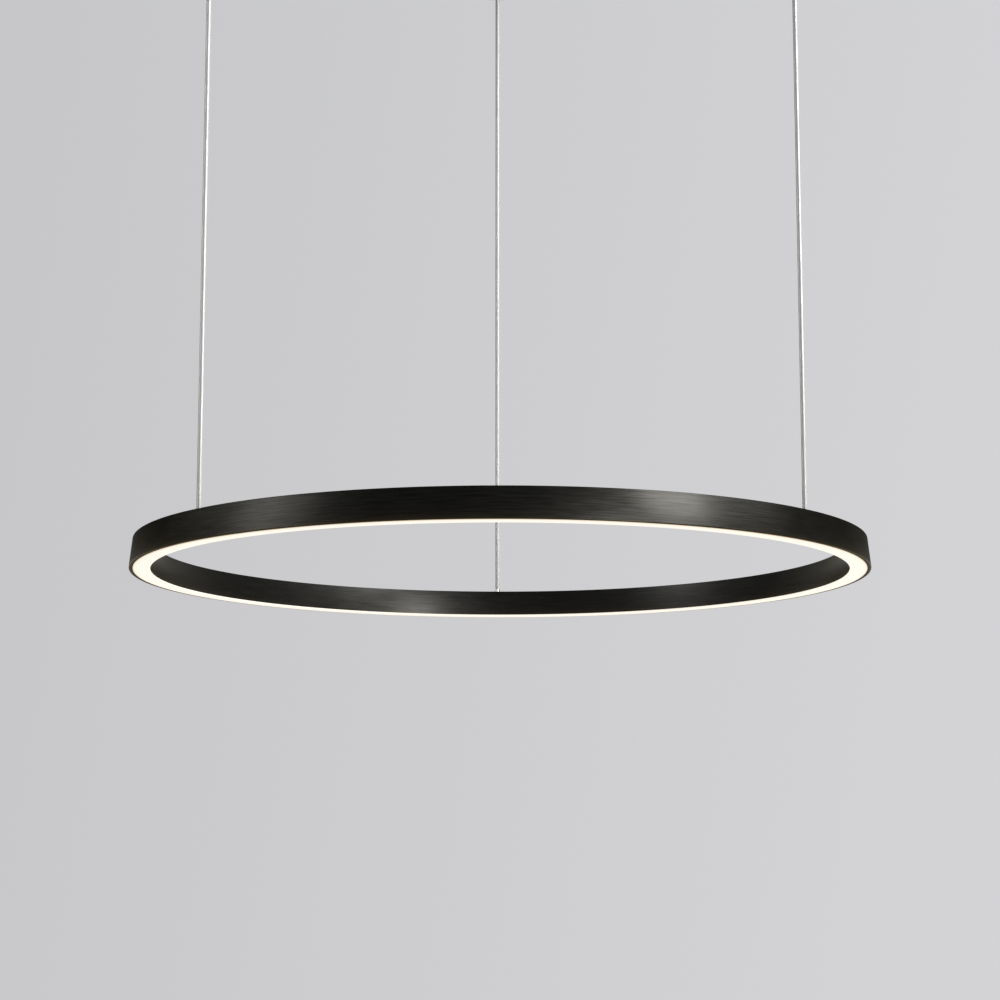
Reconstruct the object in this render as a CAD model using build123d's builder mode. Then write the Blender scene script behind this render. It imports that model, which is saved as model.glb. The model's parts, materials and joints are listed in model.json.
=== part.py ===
from build123d import *
from math import atan2, cos, degrees, hypot, radians, sin, tan
import os

os.makedirs("parts", exist_ok=True)

# A ring lamp hung level from the ceiling on three upright cables. The origin is on the ceiling
# plane, on the ring's axis, and +Z points up into the ceiling. The back cable stands at +Y.

# ---------------------------------------------------------------- driving dimensions, mm
ceiling_drop = 875.0          # ceiling plane to the ring's underside
ring_radius = 400.0           # outer corner of the underside
ring_height = 31.8            # outer wall, bottom to top corner
section_width = 22.8          # underside, outer corner to inner corner
wall_lean = 6.4               # degrees that both walls lean in towards the top

outer_wall = 2.0
inner_wall = 1.6
web_seat_height = 26.8        # level underside of the top web, above the ring's underside
lip_width = 4.4               # dark lip round the outside of the diffuser
lip_thickness = 1.8
corner_break = 0.4            # broken edges of the profile
seam_angle = 97.0             # degrees round the ring to the closing seam
seam_gap = 0.2

diffuser_thickness = 2.0
diffuser_flange = 0.8         # thin edge that laps under the foot of the inner wall
diffuser_clearance = 0.1
snap_leg = 1.2
snap_leg_height = 2.4
snap_barb = 0.9
snap_clearance = 0.2
snap_rib_depth = 0.8
snap_rib_height = 1.2

cable_diameter = 4.8
cable_bore_clearance = 0.1
front_cable_angle = 51.5      # degrees from -Y to the left and right cables

sleeve_radius = 3.0
sleeve_stand = 3.0            # sleeve that shows above the web
sleeve_shoulder_radius = 5.0
sleeve_shoulder = 2.5
sleeve_crimp_radius = 4.0
sleeve_crimp = 5.0
sleeve_hole_clearance = 0.1
sleeve_bottom_wall = 1.0
washer_radius = 7.0
washer_thickness = 1.0

board_width = 14.0
board_thickness = 1.6
board_end_gap = 14.8          # board end to a front cable
joint_gap = 18.0              # back board ends to the seam
terminal_end_gap = 15.0       # back board end to the back cable
chip_length = 3.5
chip_width = 2.8
chip_height = 0.8
chip_pitch = 16.8
chip_end_margin = 8.0
screw_radius = 1.5
screw_clearance = 0.05
screw_head_radius = 2.75
screw_head = 1.6
screw_bite = 2.0              # depth of the screws in the web
board_screws_each = 3
board_screw_margin = 24.0
link_radius = 0.7
link_overlap = 4.0
link_gap = 0.05

joiner_length = 30.0
joiner_width = 9.0
joiner_thickness = 3.0
joiner_screw_inset = 6.0

feed_terminal_length = 16.0
feed_terminal_width = 10.0
feed_terminal_height = 7.0
feed_terminal_inset = 12.0    # board end to the terminal's middle
feed_port_radius = 1.1
feed_lead_radius = 0.6
feed_lead_spacing = 3.2
feed_lead_dip = 7.0
feed_lead_bend = 3.0

grip_stem_radius = 5.0
grip_stem = 8.0
grip_barrel_radius = 7.0
grip_barrel = 26.0
grip_nose = 6.0
grip_nose_radius = 5.0
grip_bore_clearance = 0.3
grip_roof = 4.0               # solid barrel above the spring chamber
grip_chamber_radius = 5.6
grip_cone = 10.0
grip_cone_narrow = 4.2
ball_radius = 1.2
ball_clearance = 0.02
ball_count = 3
plunger_inner = 2.6
plunger_outer = 3.5
plunger_slip = 0.15
plunger_flange_radius = 5.0
plunger_flange = 1.2
plunger_above_balls = 7.5
plunger_stand = 5.0           # nipple below the nose
plunger_rim_radius = 4.4
plunger_rim = 2.0
spring_wire_radius = 0.3
spring_radius = 4.2
spring_turns = 4
spring_seat_gap = 0.05

boss_radius = 9.0
plate_thickness = 2.5
plate_radius = 27.0
plate_screw_spacing = 38.0
plate_screw_radius = 2.2
cup_radius = 30.0
cup_depth = 26.0
cover_wall = 1.2
cover_edge_radius = 2.4
cover_hole_clearance = 0.3
ceiling_gap = 0.5             # cover rim to the ceiling
collar_radius = 11.0
collar_height = 7.0
collar_thread_clearance = 0.1
collar_groove_count = 20
collar_groove_depth = 0.5
collar_groove_width = 1.2
collar_chamfer = 0.8

canopy_radius = 75.0
canopy_depth = 46.0
canopy_plate_radius = 71.0
canopy_slot_spacing = 104.0
canopy_slot_radius = 2.5
canopy_slot_length = 12.0
bridge_width = 22.0
bridge_thickness = 2.0
bridge_leg_span = 52.0        # outside of one leg to the outside of the other
bridge_foot = 10.0
bridge_bend_radius = 3.0

driver_length = 84.0
driver_width = 30.0
driver_height = 21.0
driver_lid = 3.0
driver_offset = 37.0          # back cable to the driver's middle
driver_corner = 2.0
driver_ear = 7.0
driver_ear_thickness = 2.0
driver_screw_radius = 1.75
driver_screw_head_radius = 3.2
driver_screw_head = 2.0
mains_block_length = 30.0
mains_block_width = 17.0
mains_block_height = 15.0
mains_block_base = 9.0
mains_block_offset = 34.0
mains_pole_count = 3
mains_pole_pitch = 10.0
mains_pole_radius = 3.4
mains_screw_radius = 2.0
mains_port_radius = 1.6
grommet_radius = 8.0
grommet_bore = 4.5
grommet_groove_radius = 6.4
grommet_lip = 1.5
grommet_offset = 56.0
grommet_side = 17.0
earth_offset = 40.0
earth_side = 33.0
earth_screw_radius = 2.0
earth_head_radius = 4.0
earth_head = 2.6
earth_washer_radius = 5.0
earth_washer = 1.0
core_lead_radius = 0.8
core_lead_spacing = 2.0
core_tail = 7.0               # cable that stands above the bridge
core_lead_rise = 5.0
core_lead_bend = 3.2
mains_lead_radius = 1.2
mains_lead_drop = 5.0
mains_lead_bend = 6.0
earth_lead_reach = 6.0        # straight run out of the terminal, then round to the earth screw
earth_lead_bend = 2.0

# ---------------------------------------------------------------- worked out from the above
lean = tan(radians(wall_lean))
ring_z = -ceiling_drop
cable_radius = cable_diameter / 2
seat_z = ring_z + web_seat_height
channel_outer = outer_wall
channel_inner = section_width - inner_wall
channel_middle = (channel_outer + channel_inner) / 2
anchor_radius = ring_radius - channel_middle - web_seat_height * lean
inner_top_height = ring_height - section_width * lean
web_top_at_anchor = ring_height - channel_middle * lean
sleeve_hole_radius = sleeve_radius + sleeve_hole_clearance
grip_length = grip_stem + grip_barrel + grip_nose
cone_slope = (grip_chamber_radius - grip_cone_narrow) / grip_cone
cone_angle = atan2(grip_chamber_radius - grip_cone_narrow, grip_cone)
cone_end = grip_length - grip_nose
cone_start = cone_end - grip_cone
chamber_start = grip_stem + grip_roof
ball_orbit = cable_radius + ball_radius + ball_clearance
ball_level = cone_start + (grip_chamber_radius - ball_orbit
                           - (ball_radius + ball_clearance) / cos(cone_angle)) / cone_slope
plunger_top = ball_level - plunger_above_balls
grip_extra = canopy_depth - cup_depth

back_angle = 90.0
left_angle = 270.0 - front_cable_angle
right_angle = 270.0 + front_cable_angle
angles = {"left": left_angle, "right": right_angle, "back": back_angle}
grip_top = {"left": -plate_thickness, "right": -plate_thickness,
            "back": -plate_thickness - grip_extra}
cover_depth = {"left": cup_depth, "right": cup_depth, "back": canopy_depth}
cover_radius = {"left": cup_radius, "right": cup_radius, "back": canopy_radius}
cover_name = {"left": "cup_cover_left", "right": "cup_cover_right", "back": "canopy_cover"}


def ring_point(inset, height):
    """A point of the ring's section, counted in from the leaning outer wall and up."""
    return (ring_radius - inset - height * lean, ring_z + height)


def web_top(inset):
    """Height of the web's sloping top face at an inset from the outer wall."""
    return ring_height - inset * lean


def around(angle, radius=None):
    """X and Y on the ring at an angle, on the cables' circle unless a radius is given."""
    reach = anchor_radius if radius is None else radius
    return (reach * cos(radians(angle)), reach * sin(radians(angle)))


def arc_angle(length):
    """The angle in degrees that a length takes on the cables' circle."""
    return degrees(length / anchor_radius)


def upright(angle, top=0.0):
    """An upright sketch plane on a cable's line: local X is outward, local Y is up from top."""
    x, y = around(angle)
    return Plane(origin=(x, y, top), x_dir=(1, 0, 0), z_dir=(0, -1, 0))


def line_of(angle):
    """The upright line of a cable, as an axis."""
    x, y = around(angle)
    return Axis((x, y, 0), (0, 0, 1))


def save(part, name):
    """Label a finished piece and write it."""
    part.label = name
    export_step(part, f"parts/{name}.step")


# ---------------------------------------------------------------- ring housing
board_outer = anchor_radius + board_width / 2
board_inner = anchor_radius - board_width / 2
board_end = arc_angle(board_end_gap)
board_spans = {
    "left": (seam_angle + arc_angle(joint_gap), left_angle - board_end),
    "front": (left_angle + board_end, right_angle - board_end),
    "right": (right_angle + board_end, 360.0 + back_angle - arc_angle(terminal_end_gap)),
}


def board_screw_angles(span):
    """Even places for a board's screws, clear of its ends."""
    start = span[0] + arc_angle(board_screw_margin)
    step = (span[1] - arc_angle(board_screw_margin) - start) / (board_screws_each - 1)
    return [start + step * n for n in range(board_screws_each)]


def joiner_screw_angles():
    """Two screws each side of the seam."""
    far = joiner_length / 2 - joiner_screw_inset / 2
    near = joiner_screw_inset
    return [seam_angle + arc_angle(s) for s in (-far, -near, near, far)]


all_board_screws = [a for span in board_spans.values() for a in board_screw_angles(span)]
rib_top = diffuser_flange + snap_rib_height + snap_clearance * 2

with BuildPart() as ring_housing:
    with BuildSketch(Plane.XZ):
        with BuildLine():
            Polyline(
                ring_point(corner_break, 0),
                ring_point(0, corner_break),
                ring_point(0, ring_height - corner_break),
                ring_point(corner_break, web_top(corner_break)),
                ring_point(section_width - corner_break, web_top(section_width - corner_break)),
                ring_point(section_width, inner_top_height - corner_break),
                ring_point(section_width, diffuser_flange),
                ring_point(channel_inner, diffuser_flange),
                ring_point(channel_inner, rib_top - snap_rib_height),
                ring_point(channel_inner - snap_rib_depth, rib_top - snap_rib_height),
                ring_point(channel_inner - snap_rib_depth, rib_top),
                ring_point(channel_inner, rib_top),
                ring_point(channel_inner, web_seat_height),
                ring_point(channel_outer, web_seat_height),
                ring_point(channel_outer, lip_thickness),
                ring_point(lip_width, lip_thickness),
                ring_point(lip_width, 0),
                close=True,
            )
        make_face()
    revolve(axis=Axis.Z)
    # bores for the cable sleeves, and blind tapped holes for the board and joiner screws
    with Locations(*[(*around(a), seat_z) for a in angles.values()]):
        Cylinder(sleeve_hole_radius, ring_height, mode=Mode.SUBTRACT)
    with Locations(*[(*around(a), seat_z) for a in all_board_screws + joiner_screw_angles()]):
        Cylinder(
            screw_radius + screw_clearance,
            screw_bite,
            align=(Align.CENTER, Align.CENTER, Align.MIN),
            mode=Mode.SUBTRACT,
        )
    # the profile is rolled round and closed at one seam
    with BuildSketch(Plane.XY.offset(ring_z)):
        with Locations(around(seam_angle)):
            Rectangle(section_width * 2, seam_gap, rotation=seam_angle)
    extrude(amount=ring_height, mode=Mode.SUBTRACT)
save(ring_housing.part, "ring_housing")


# ---------------------------------------------------------------- diffuser
outer_leg = lip_width + diffuser_clearance
inner_leg = channel_inner - snap_rib_depth - snap_clearance
barb_low = lip_thickness + snap_clearance
leg_top = diffuser_thickness + snap_leg_height
inner_barb_low = rib_top + snap_clearance

with BuildPart() as diffuser:
    with BuildSketch(Plane.XZ):
        with BuildLine():
            Polyline(
                ring_point(outer_leg, 0),
                ring_point(outer_leg, barb_low),
                ring_point(outer_leg - snap_barb, barb_low),
                ring_point(outer_leg, leg_top),
                ring_point(outer_leg + snap_leg, leg_top),
                ring_point(outer_leg + snap_leg, diffuser_thickness),
                ring_point(inner_leg - snap_leg, diffuser_thickness),
                ring_point(inner_leg - snap_leg, leg_top),
                ring_point(inner_leg, leg_top),
                ring_point(inner_leg + snap_barb, inner_barb_low),
                ring_point(inner_leg, inner_barb_low),
                ring_point(inner_leg, diffuser_flange - diffuser_clearance),
                ring_point(section_width, diffuser_flange - diffuser_clearance),
                ring_point(section_width, 0),
                close=True,
            )
        make_face()
    revolve(axis=Axis.Z)
save(diffuser.part, "diffuser")


# ---------------------------------------------------------------- light boards
def annulus_sector(outer, inner, start, end, top, thickness):
    """A flat arc strip with square ends, from top downwards."""
    middle = (start + end) / 2
    half = radians(end - start) / 2
    with BuildPart() as strip:
        with BuildSketch(Plane.XY.offset(top).rotated((0, 0, middle))):
            with BuildLine():
                low_o = (outer * cos(half), -outer * sin(half))
                high_o = (outer * cos(half), outer * sin(half))
                low_i = (inner * cos(half), -inner * sin(half))
                high_i = (inner * cos(half), inner * sin(half))
                ThreePointArc(low_o, (outer, 0), high_o)
                Line(high_o, high_i)
                ThreePointArc(high_i, (inner, 0), low_i)
                Line(low_i, low_o)
            make_face()
        extrude(amount=-thickness)
    return strip


for side, span in board_spans.items():
    board = annulus_sector(board_outer, board_inner, *span, seat_z, board_thickness)
    with BuildPart() as led_board:
        add(board.part)
        with Locations(*[(*around(a), seat_z) for a in board_screw_angles(span)]):
            Cylinder(screw_radius + screw_clearance, board_thickness * 2, mode=Mode.SUBTRACT)
    save(led_board.part, f"led_board_{side}")

board_face = seat_z - board_thickness
terminal_angle = board_spans["right"][1] - arc_angle(feed_terminal_inset)
keep_clear = [(a, screw_head_radius) for a in all_board_screws]
keep_clear.append((terminal_angle, feed_terminal_length / 2))


def chip_angles(span):
    """Places for the chips on one board, evenly spaced and clear of screws and terminal."""
    start = span[0] + arc_angle(chip_end_margin)
    end = span[1] - arc_angle(chip_end_margin)
    gaps = round((end - start) / arc_angle(chip_pitch))
    even = [start + (end - start) * n / gaps for n in range(gaps + 1)]
    return [a for a in even
            if all(abs(a - b) > arc_angle(r + chip_length) for b, r in keep_clear)]


chip_places = [a for span in board_spans.values() for a in chip_angles(span)]

with BuildPart() as led_chips:
    with Locations(*[Location((*around(a), board_face), (0, 0, a)) for a in chip_places]):
        Box(chip_width, chip_length, chip_height, align=(Align.CENTER, Align.CENTER, Align.MAX))
save(led_chips.part, "led_chips")


def pan_screws(places, face, bite):
    """Pan head screws whose heads bear on a face from below, as separate solids."""
    with BuildPart() as screws:
        with Locations(*[(*p, face) for p in places]):
            Cylinder(
                screw_head_radius, screw_head, align=(Align.CENTER, Align.CENTER, Align.MAX)
            )
            Cylinder(screw_radius, bite, align=(Align.CENTER, Align.CENTER, Align.MIN))
    return screws.part


save(
    pan_screws([around(a) for a in all_board_screws], board_face, board_thickness + screw_bite),
    "board_screws",
)

# leads that join one board to the next, two across each gap
link_offset = board_width / 2 - link_radius * 1.5
link_level = board_face - link_radius - link_gap
link_gaps = [
    (board_spans["left"][1], board_spans["front"][0]),
    (board_spans["front"][1], board_spans["right"][0]),
    (board_spans["right"][1] - 360.0, board_spans["left"][0]),
]

link_arcs = []
for start, end in link_gaps:
    first = start - arc_angle(link_overlap)
    sweep_angle = end - start + 2 * arc_angle(link_overlap)
    for side in (-1, 1):
        link_plane = Plane(
            origin=(*around(first, anchor_radius + side * link_offset), link_level),
            x_dir=(cos(radians(first)), sin(radians(first)), 0),
            z_dir=(sin(radians(first)), -cos(radians(first)), 0),
        )
        with BuildPart() as link_arc:
            with BuildSketch(link_plane):
                Circle(link_radius)
            revolve(axis=Axis.Z, revolution_arc=sweep_angle)
        link_arcs.append(link_arc.part)

with BuildPart() as link_leads:
    add(link_arcs)
save(link_leads.part, "link_leads")


# ---------------------------------------------------------------- joiner at the seam
joiner_half = arc_angle(joiner_length / 2)
joiner_blank = annulus_sector(
    anchor_radius + joiner_width / 2,
    anchor_radius - joiner_width / 2,
    seam_angle - joiner_half,
    seam_angle + joiner_half,
    seat_z,
    joiner_thickness,
)
with BuildPart() as joiner_plate:
    add(joiner_blank.part)
    with Locations(*[(*around(a), seat_z) for a in joiner_screw_angles()]):
        Cylinder(screw_radius + screw_clearance, joiner_thickness * 2, mode=Mode.SUBTRACT)
save(joiner_plate.part, "joiner_plate")
save(
    pan_screws(
        [around(a) for a in joiner_screw_angles()],
        seat_z - joiner_thickness,
        joiner_thickness + screw_bite,
    ),
    "joiner_screws",
)


# ---------------------------------------------------------------- cable ends in the ring
sleeve_top = ring_z + web_top_at_anchor + sleeve_stand
washer_face = seat_z - washer_thickness
shoulder_face = washer_face - sleeve_shoulder
sleeve_foot = shoulder_face - sleeve_crimp
cable_foot = sleeve_foot + sleeve_bottom_wall
cable_bore = cable_radius + cable_bore_clearance

for side, angle in angles.items():
    with BuildPart() as anchor_sleeve:
        with BuildSketch(upright(angle)):
            with BuildLine():
                Polyline(
                    (cable_bore, sleeve_top),
                    (sleeve_radius, sleeve_top),
                    (sleeve_radius, washer_face),
                    (sleeve_shoulder_radius, washer_face),
                    (sleeve_shoulder_radius, shoulder_face),
                    (sleeve_crimp_radius, shoulder_face),
                    (sleeve_crimp_radius, sleeve_foot),
                    (0, sleeve_foot),
                    (0, cable_foot),
                    (cable_bore, cable_foot),
                    close=True,
                )
            make_face()
        revolve(axis=line_of(angle))
    save(anchor_sleeve.part, f"anchor_sleeve_{side}")

    with BuildPart() as anchor_washer:
        with BuildSketch(Plane.XY.offset(washer_face)):
            with Locations(around(angle)):
                Circle(washer_radius)
                Circle(sleeve_hole_radius, mode=Mode.SUBTRACT)
        extrude(amount=washer_thickness)
    save(anchor_washer.part, f"anchor_washer_{side}")


# ---------------------------------------------------------------- feed terminal in the ring
terminal_plane = Plane(
    origin=(*around(terminal_angle), board_face),
    x_dir=(-sin(radians(terminal_angle)), cos(radians(terminal_angle)), 0),
    z_dir=(0, 0, 1),
)
feed_port_shift = feed_terminal_length / 4

with BuildPart() as feed_terminal:
    with BuildSketch(terminal_plane):
        Rectangle(feed_terminal_length, feed_terminal_width)
    extrude(amount=-feed_terminal_height)
    with BuildSketch(terminal_plane.offset(-feed_terminal_height)):
        with Locations(
            (feed_port_shift, -feed_lead_spacing / 2), (feed_port_shift, feed_lead_spacing / 2)
        ):
            Circle(feed_port_radius)
    extrude(amount=feed_terminal_height / 2, mode=Mode.SUBTRACT)
    chamfer(
        feed_terminal.faces().sort_by(Axis.Z)[0].outer_wire().edges(), length=corner_break
    )
save(feed_terminal.part, "feed_terminal")

# two cores loop from the foot of the back sleeve up into the terminal
terminal_port = terminal_plane.from_local_coords((feed_port_shift, 0, 0))
port_level = board_face - feed_terminal_height
feed_level = min(sleeve_foot, port_level) - feed_lead_dip
back_x, back_y = around(back_angle)
port_dx = terminal_port.X - back_x
port_dy = terminal_port.Y - back_y
port_reach = hypot(port_dx, port_dy)
feed_side = (-port_dy / port_reach, port_dx / port_reach)

feed_parts = []
for side in (-1, 1):
    shift_x = feed_side[0] * side * feed_lead_spacing / 2
    shift_y = feed_side[1] * side * feed_lead_spacing / 2
    start_x = back_x + shift_x
    start_y = back_y + shift_y
    end_x = terminal_port.X + shift_x
    end_y = terminal_port.Y + shift_y
    with BuildPart() as feed_lead:
        with BuildLine() as feed_route:
            FilletPolyline(
                (start_x, start_y, sleeve_foot),
                (start_x, start_y, feed_level),
                (end_x, end_y, feed_level),
                (end_x, end_y, port_level + feed_port_radius),
                radius=feed_lead_bend,
            )
        with BuildSketch(Plane(origin=feed_route.line @ 0, z_dir=feed_route.line % 0)):
            Circle(feed_lead_radius)
        sweep()
    feed_parts.append(feed_lead.part)

with BuildPart() as feed_leads:
    add(feed_parts)
save(feed_leads.part, "feed_leads")


# ---------------------------------------------------------------- suspension cables
cable_top = {
    "left": -plate_thickness / 2,
    "right": -plate_thickness / 2,
    "back": grip_top["back"] + bridge_thickness + core_tail,
}

for side, angle in angles.items():
    with BuildPart() as suspension_cable:
        with BuildSketch(Plane.XY.offset(cable_foot)):
            with Locations(around(angle)):
                Circle(cable_radius)
        extrude(amount=cable_top[side] - cable_foot)
    save(suspension_cable.part, f"suspension_cable_{side}")


# ---------------------------------------------------------------- ceiling plates and bridge
grip_bore = cable_radius + grip_bore_clearance
stem_hole = grip_stem_radius + collar_thread_clearance

for side in ("left", "right"):
    x, y = around(angles[side])
    with BuildPart() as ceiling_plate:
        with BuildSketch(Plane.XY):
            with Locations((x, y)):
                Circle(plate_radius)
                Circle(grip_bore, mode=Mode.SUBTRACT)
            with Locations((x - plate_screw_spacing / 2, y), (x + plate_screw_spacing / 2, y)):
                Circle(plate_screw_radius, mode=Mode.SUBTRACT)
        extrude(amount=-plate_thickness)
        with BuildSketch(Plane.XY.offset(-plate_thickness)):
            with Locations((x, y)):
                RegularPolygon(boss_radius, 6)
                Circle(stem_hole, mode=Mode.SUBTRACT)
        extrude(amount=-grip_stem)
    save(ceiling_plate.part, f"ceiling_plate_{side}")

grommet_x = grommet_side
grommet_y = back_y - grommet_offset
earth_x = -earth_side
earth_y = back_y - earth_offset
driver_y = back_y + driver_offset
driver_ear_x = driver_length / 2 + driver_ear / 2
foot_x = bridge_leg_span / 2 + bridge_foot / 2

with BuildPart() as canopy_plate:
    with BuildSketch(Plane.XY):
        with Locations((back_x, back_y)):
            Circle(canopy_plate_radius)
        with Locations(
            (back_x - canopy_slot_spacing / 2, back_y), (back_x + canopy_slot_spacing / 2, back_y)
        ):
            SlotOverall(canopy_slot_length, canopy_slot_radius * 2, mode=Mode.SUBTRACT)
        with Locations((grommet_x, grommet_y)):
            Circle(grommet_groove_radius, mode=Mode.SUBTRACT)
        with Locations((earth_x, earth_y)):
            Circle(earth_screw_radius + screw_clearance, mode=Mode.SUBTRACT)
        with Locations((back_x - foot_x, back_y), (back_x + foot_x, back_y)):
            Circle(driver_screw_radius + screw_clearance, mode=Mode.SUBTRACT)
        with Locations((back_x - driver_ear_x, driver_y), (back_x + driver_ear_x, driver_y)):
            Circle(driver_screw_radius + screw_clearance, mode=Mode.SUBTRACT)
    extrude(amount=-plate_thickness)
save(canopy_plate.part, "canopy_plate")

bridge_face = grip_top["back"]
bridge_top = bridge_face + bridge_thickness
leg_out = bridge_leg_span / 2
leg_in = leg_out - bridge_thickness
foot_low = -plate_thickness - bridge_thickness

with BuildPart() as gripper_bridge:
    with BuildSketch(Plane(origin=(back_x, back_y, 0), x_dir=(1, 0, 0), z_dir=(0, -1, 0))):
        with BuildLine():
            Polyline(
                (-leg_out - bridge_foot, -plate_thickness),
                (-leg_in, -plate_thickness),
                (-leg_in, bridge_top),
                (leg_in, bridge_top),
                (leg_in, -plate_thickness),
                (leg_out + bridge_foot, -plate_thickness),
                (leg_out + bridge_foot, foot_low),
                (leg_out, foot_low),
                (leg_out, bridge_face),
                (-leg_out, bridge_face),
                (-leg_out, foot_low),
                (-leg_out - bridge_foot, foot_low),
                close=True,
            )
        make_face()
    extrude(amount=bridge_width / 2, both=True)
    outer_bends = gripper_bridge.edges().filter_by(Axis.Y).group_by(Axis.Z)[0]
    fillet(outer_bends, radius=bridge_bend_radius)
    with BuildSketch(Plane.XY.offset(bridge_face)):
        with Locations((back_x, back_y)):
            RegularPolygon(boss_radius, 6)
            Circle(stem_hole, mode=Mode.SUBTRACT)
    extrude(amount=-grip_stem)
    with BuildSketch(Plane.XY.offset(bridge_top)):
        with Locations((back_x, back_y)):
            Circle(grip_bore)
    extrude(amount=-bridge_thickness, mode=Mode.SUBTRACT)
    with BuildSketch(Plane.XY.offset(-plate_thickness)):
        with Locations((back_x - foot_x, back_y), (back_x + foot_x, back_y)):
            Circle(driver_screw_radius + screw_clearance)
    extrude(amount=-bridge_thickness, mode=Mode.SUBTRACT)
save(gripper_bridge.part, "gripper_bridge")

with BuildPart() as bridge_screws:
    with Locations((back_x - foot_x, back_y, foot_low), (back_x + foot_x, back_y, foot_low)):
        Cylinder(
            driver_screw_head_radius,
            driver_screw_head,
            align=(Align.CENTER, Align.CENTER, Align.MAX),
        )
        Cylinder(
            driver_screw_radius, -foot_low, align=(Align.CENTER, Align.CENTER, Align.MIN)
        )
save(bridge_screws.part, "bridge_screws")


# ---------------------------------------------------------------- cable grippers
def level(top, depth):
    """Height of a point of a gripper, counted down from its top."""
    return top - depth


for side, angle in angles.items():
    top = grip_top[side]
    x, y = around(angle)
    with BuildPart() as gripper_body:
        with BuildSketch(upright(angle)):
            with BuildLine():
                Polyline(
                    (grip_bore, level(top, 0)),
                    (grip_stem_radius, level(top, 0)),
                    (grip_stem_radius, level(top, grip_stem)),
                    (grip_barrel_radius, level(top, grip_stem)),
                    (grip_barrel_radius, level(top, cone_end)),
                    (grip_nose_radius, level(top, grip_length)),
                    (plunger_outer + plunger_slip, level(top, grip_length)),
                    (plunger_outer + plunger_slip, level(top, cone_end)),
                    (grip_cone_narrow, level(top, cone_end)),
                    (grip_chamber_radius, level(top, cone_start)),
                    (grip_chamber_radius, level(top, chamber_start)),
                    (grip_bore, level(top, chamber_start)),
                    close=True,
                )
            make_face()
        revolve(axis=line_of(angle))
    save(gripper_body.part, f"gripper_body_{side}")

    ball_z = level(top, ball_level)
    with BuildPart() as gripper_balls:
        with Locations((x, y, ball_z)):
            with PolarLocations(ball_orbit, ball_count):
                Sphere(ball_radius)
    save(gripper_balls.part, f"gripper_balls_{side}")

    with BuildPart() as release_plunger:
        with BuildSketch(upright(angle)):
            with BuildLine():
                Polyline(
                    (plunger_inner, level(top, plunger_top)),
                    (plunger_flange_radius, level(top, plunger_top)),
                    (plunger_flange_radius, level(top, plunger_top + plunger_flange)),
                    (plunger_outer, level(top, plunger_top + plunger_flange)),
                    (plunger_outer, level(top, grip_length + plunger_stand - plunger_rim)),
                    (plunger_rim_radius, level(top, grip_length + plunger_stand - plunger_rim)),
                    (plunger_rim_radius, level(top, grip_length + plunger_stand)),
                    (plunger_inner, level(top, grip_length + plunger_stand)),
                    close=True,
                )
            make_face()
        revolve(axis=line_of(angle))
        with Locations((x, y, ball_z)):
            with PolarLocations(ball_orbit, ball_count):
                Sphere(ball_radius + ball_clearance, mode=Mode.SUBTRACT)
    save(release_plunger.part, f"release_plunger_{side}")

    spring_low = level(top, plunger_top) + spring_wire_radius + spring_seat_gap
    spring_high = level(top, chamber_start) - spring_wire_radius - spring_seat_gap
    spring_height = spring_high - spring_low
    with BuildPart() as release_spring:
        with BuildLine() as coil:
            Helix(
                pitch=spring_height / spring_turns,
                height=spring_height,
                radius=spring_radius,
                center=(x, y, spring_low),
            )
        with BuildSketch(Plane(origin=coil.line @ 0, z_dir=coil.line % 0)):
            Circle(spring_wire_radius)
        sweep()
    save(release_spring.part, f"release_spring_{side}")


# ---------------------------------------------------------------- covers and their collars
cover_hole = grip_barrel_radius + cover_hole_clearance
collar_bore = grip_barrel_radius + collar_thread_clearance

for side, angle in angles.items():
    outer = cover_radius[side]
    depth = cover_depth[side]
    x, y = around(angle)
    with BuildPart() as cover:
        with BuildSketch(Plane.XY.offset(-depth)):
            with Locations((x, y)):
                Circle(outer)
        extrude(amount=depth - ceiling_gap)
        fillet(cover.edges().sort_by(Axis.Z)[0], radius=cover_edge_radius)
        offset(amount=-cover_wall, openings=cover.faces().sort_by(Axis.Z)[-1])
        with BuildSketch(Plane.XY.offset(-depth)):
            with Locations((x, y)):
                Circle(cover_hole)
        extrude(amount=cover_wall, mode=Mode.SUBTRACT)
    save(cover.part, cover_name[side])

    with BuildPart() as collar:
        with BuildSketch(Plane.XY.offset(-depth)):
            with Locations((x, y)):
                Circle(collar_radius)
        extrude(amount=-collar_height)
        chamfer(collar.edges(), length=collar_chamfer)
        with BuildSketch(Plane.XY.offset(-depth)):
            with Locations((x, y)):
                with PolarLocations(collar_radius, collar_groove_count):
                    Rectangle(collar_groove_depth * 2, collar_groove_width)
                Circle(collar_bore)
        extrude(amount=-collar_height, mode=Mode.SUBTRACT)
    save(collar.part, f"cover_collar_{side}")


# ---------------------------------------------------------------- driver and wiring in the canopy
driver_top = -plate_thickness
driver_face = driver_y - driver_width / 2

with BuildPart() as led_driver:
    with BuildSketch(Plane.XY.offset(driver_top)):
        with Locations((back_x, driver_y)):
            RectangleRounded(driver_length, driver_width, driver_corner)
    extrude(amount=-driver_height)
    with BuildSketch(Plane.XY.offset(driver_top)):
        with Locations((back_x, driver_y)):
            Rectangle(driver_length + driver_ear * 2, driver_width / 2)
            with Locations((-driver_ear_x, 0), (driver_ear_x, 0)):
                Circle(driver_screw_radius + screw_clearance, mode=Mode.SUBTRACT)
    extrude(amount=-driver_ear_thickness)
    chamfer(led_driver.faces().sort_by(Axis.Z)[0].edges(), length=corner_break * 2)
    # shadow line between the driver's base and its lid
    with BuildSketch(Plane.XY.offset(driver_top - driver_height + driver_lid)):
        with Locations((back_x, driver_y)):
            RectangleRounded(driver_length, driver_width, driver_corner)
            offset(amount=-corner_break, mode=Mode.SUBTRACT)
    extrude(amount=corner_break, mode=Mode.SUBTRACT)
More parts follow.
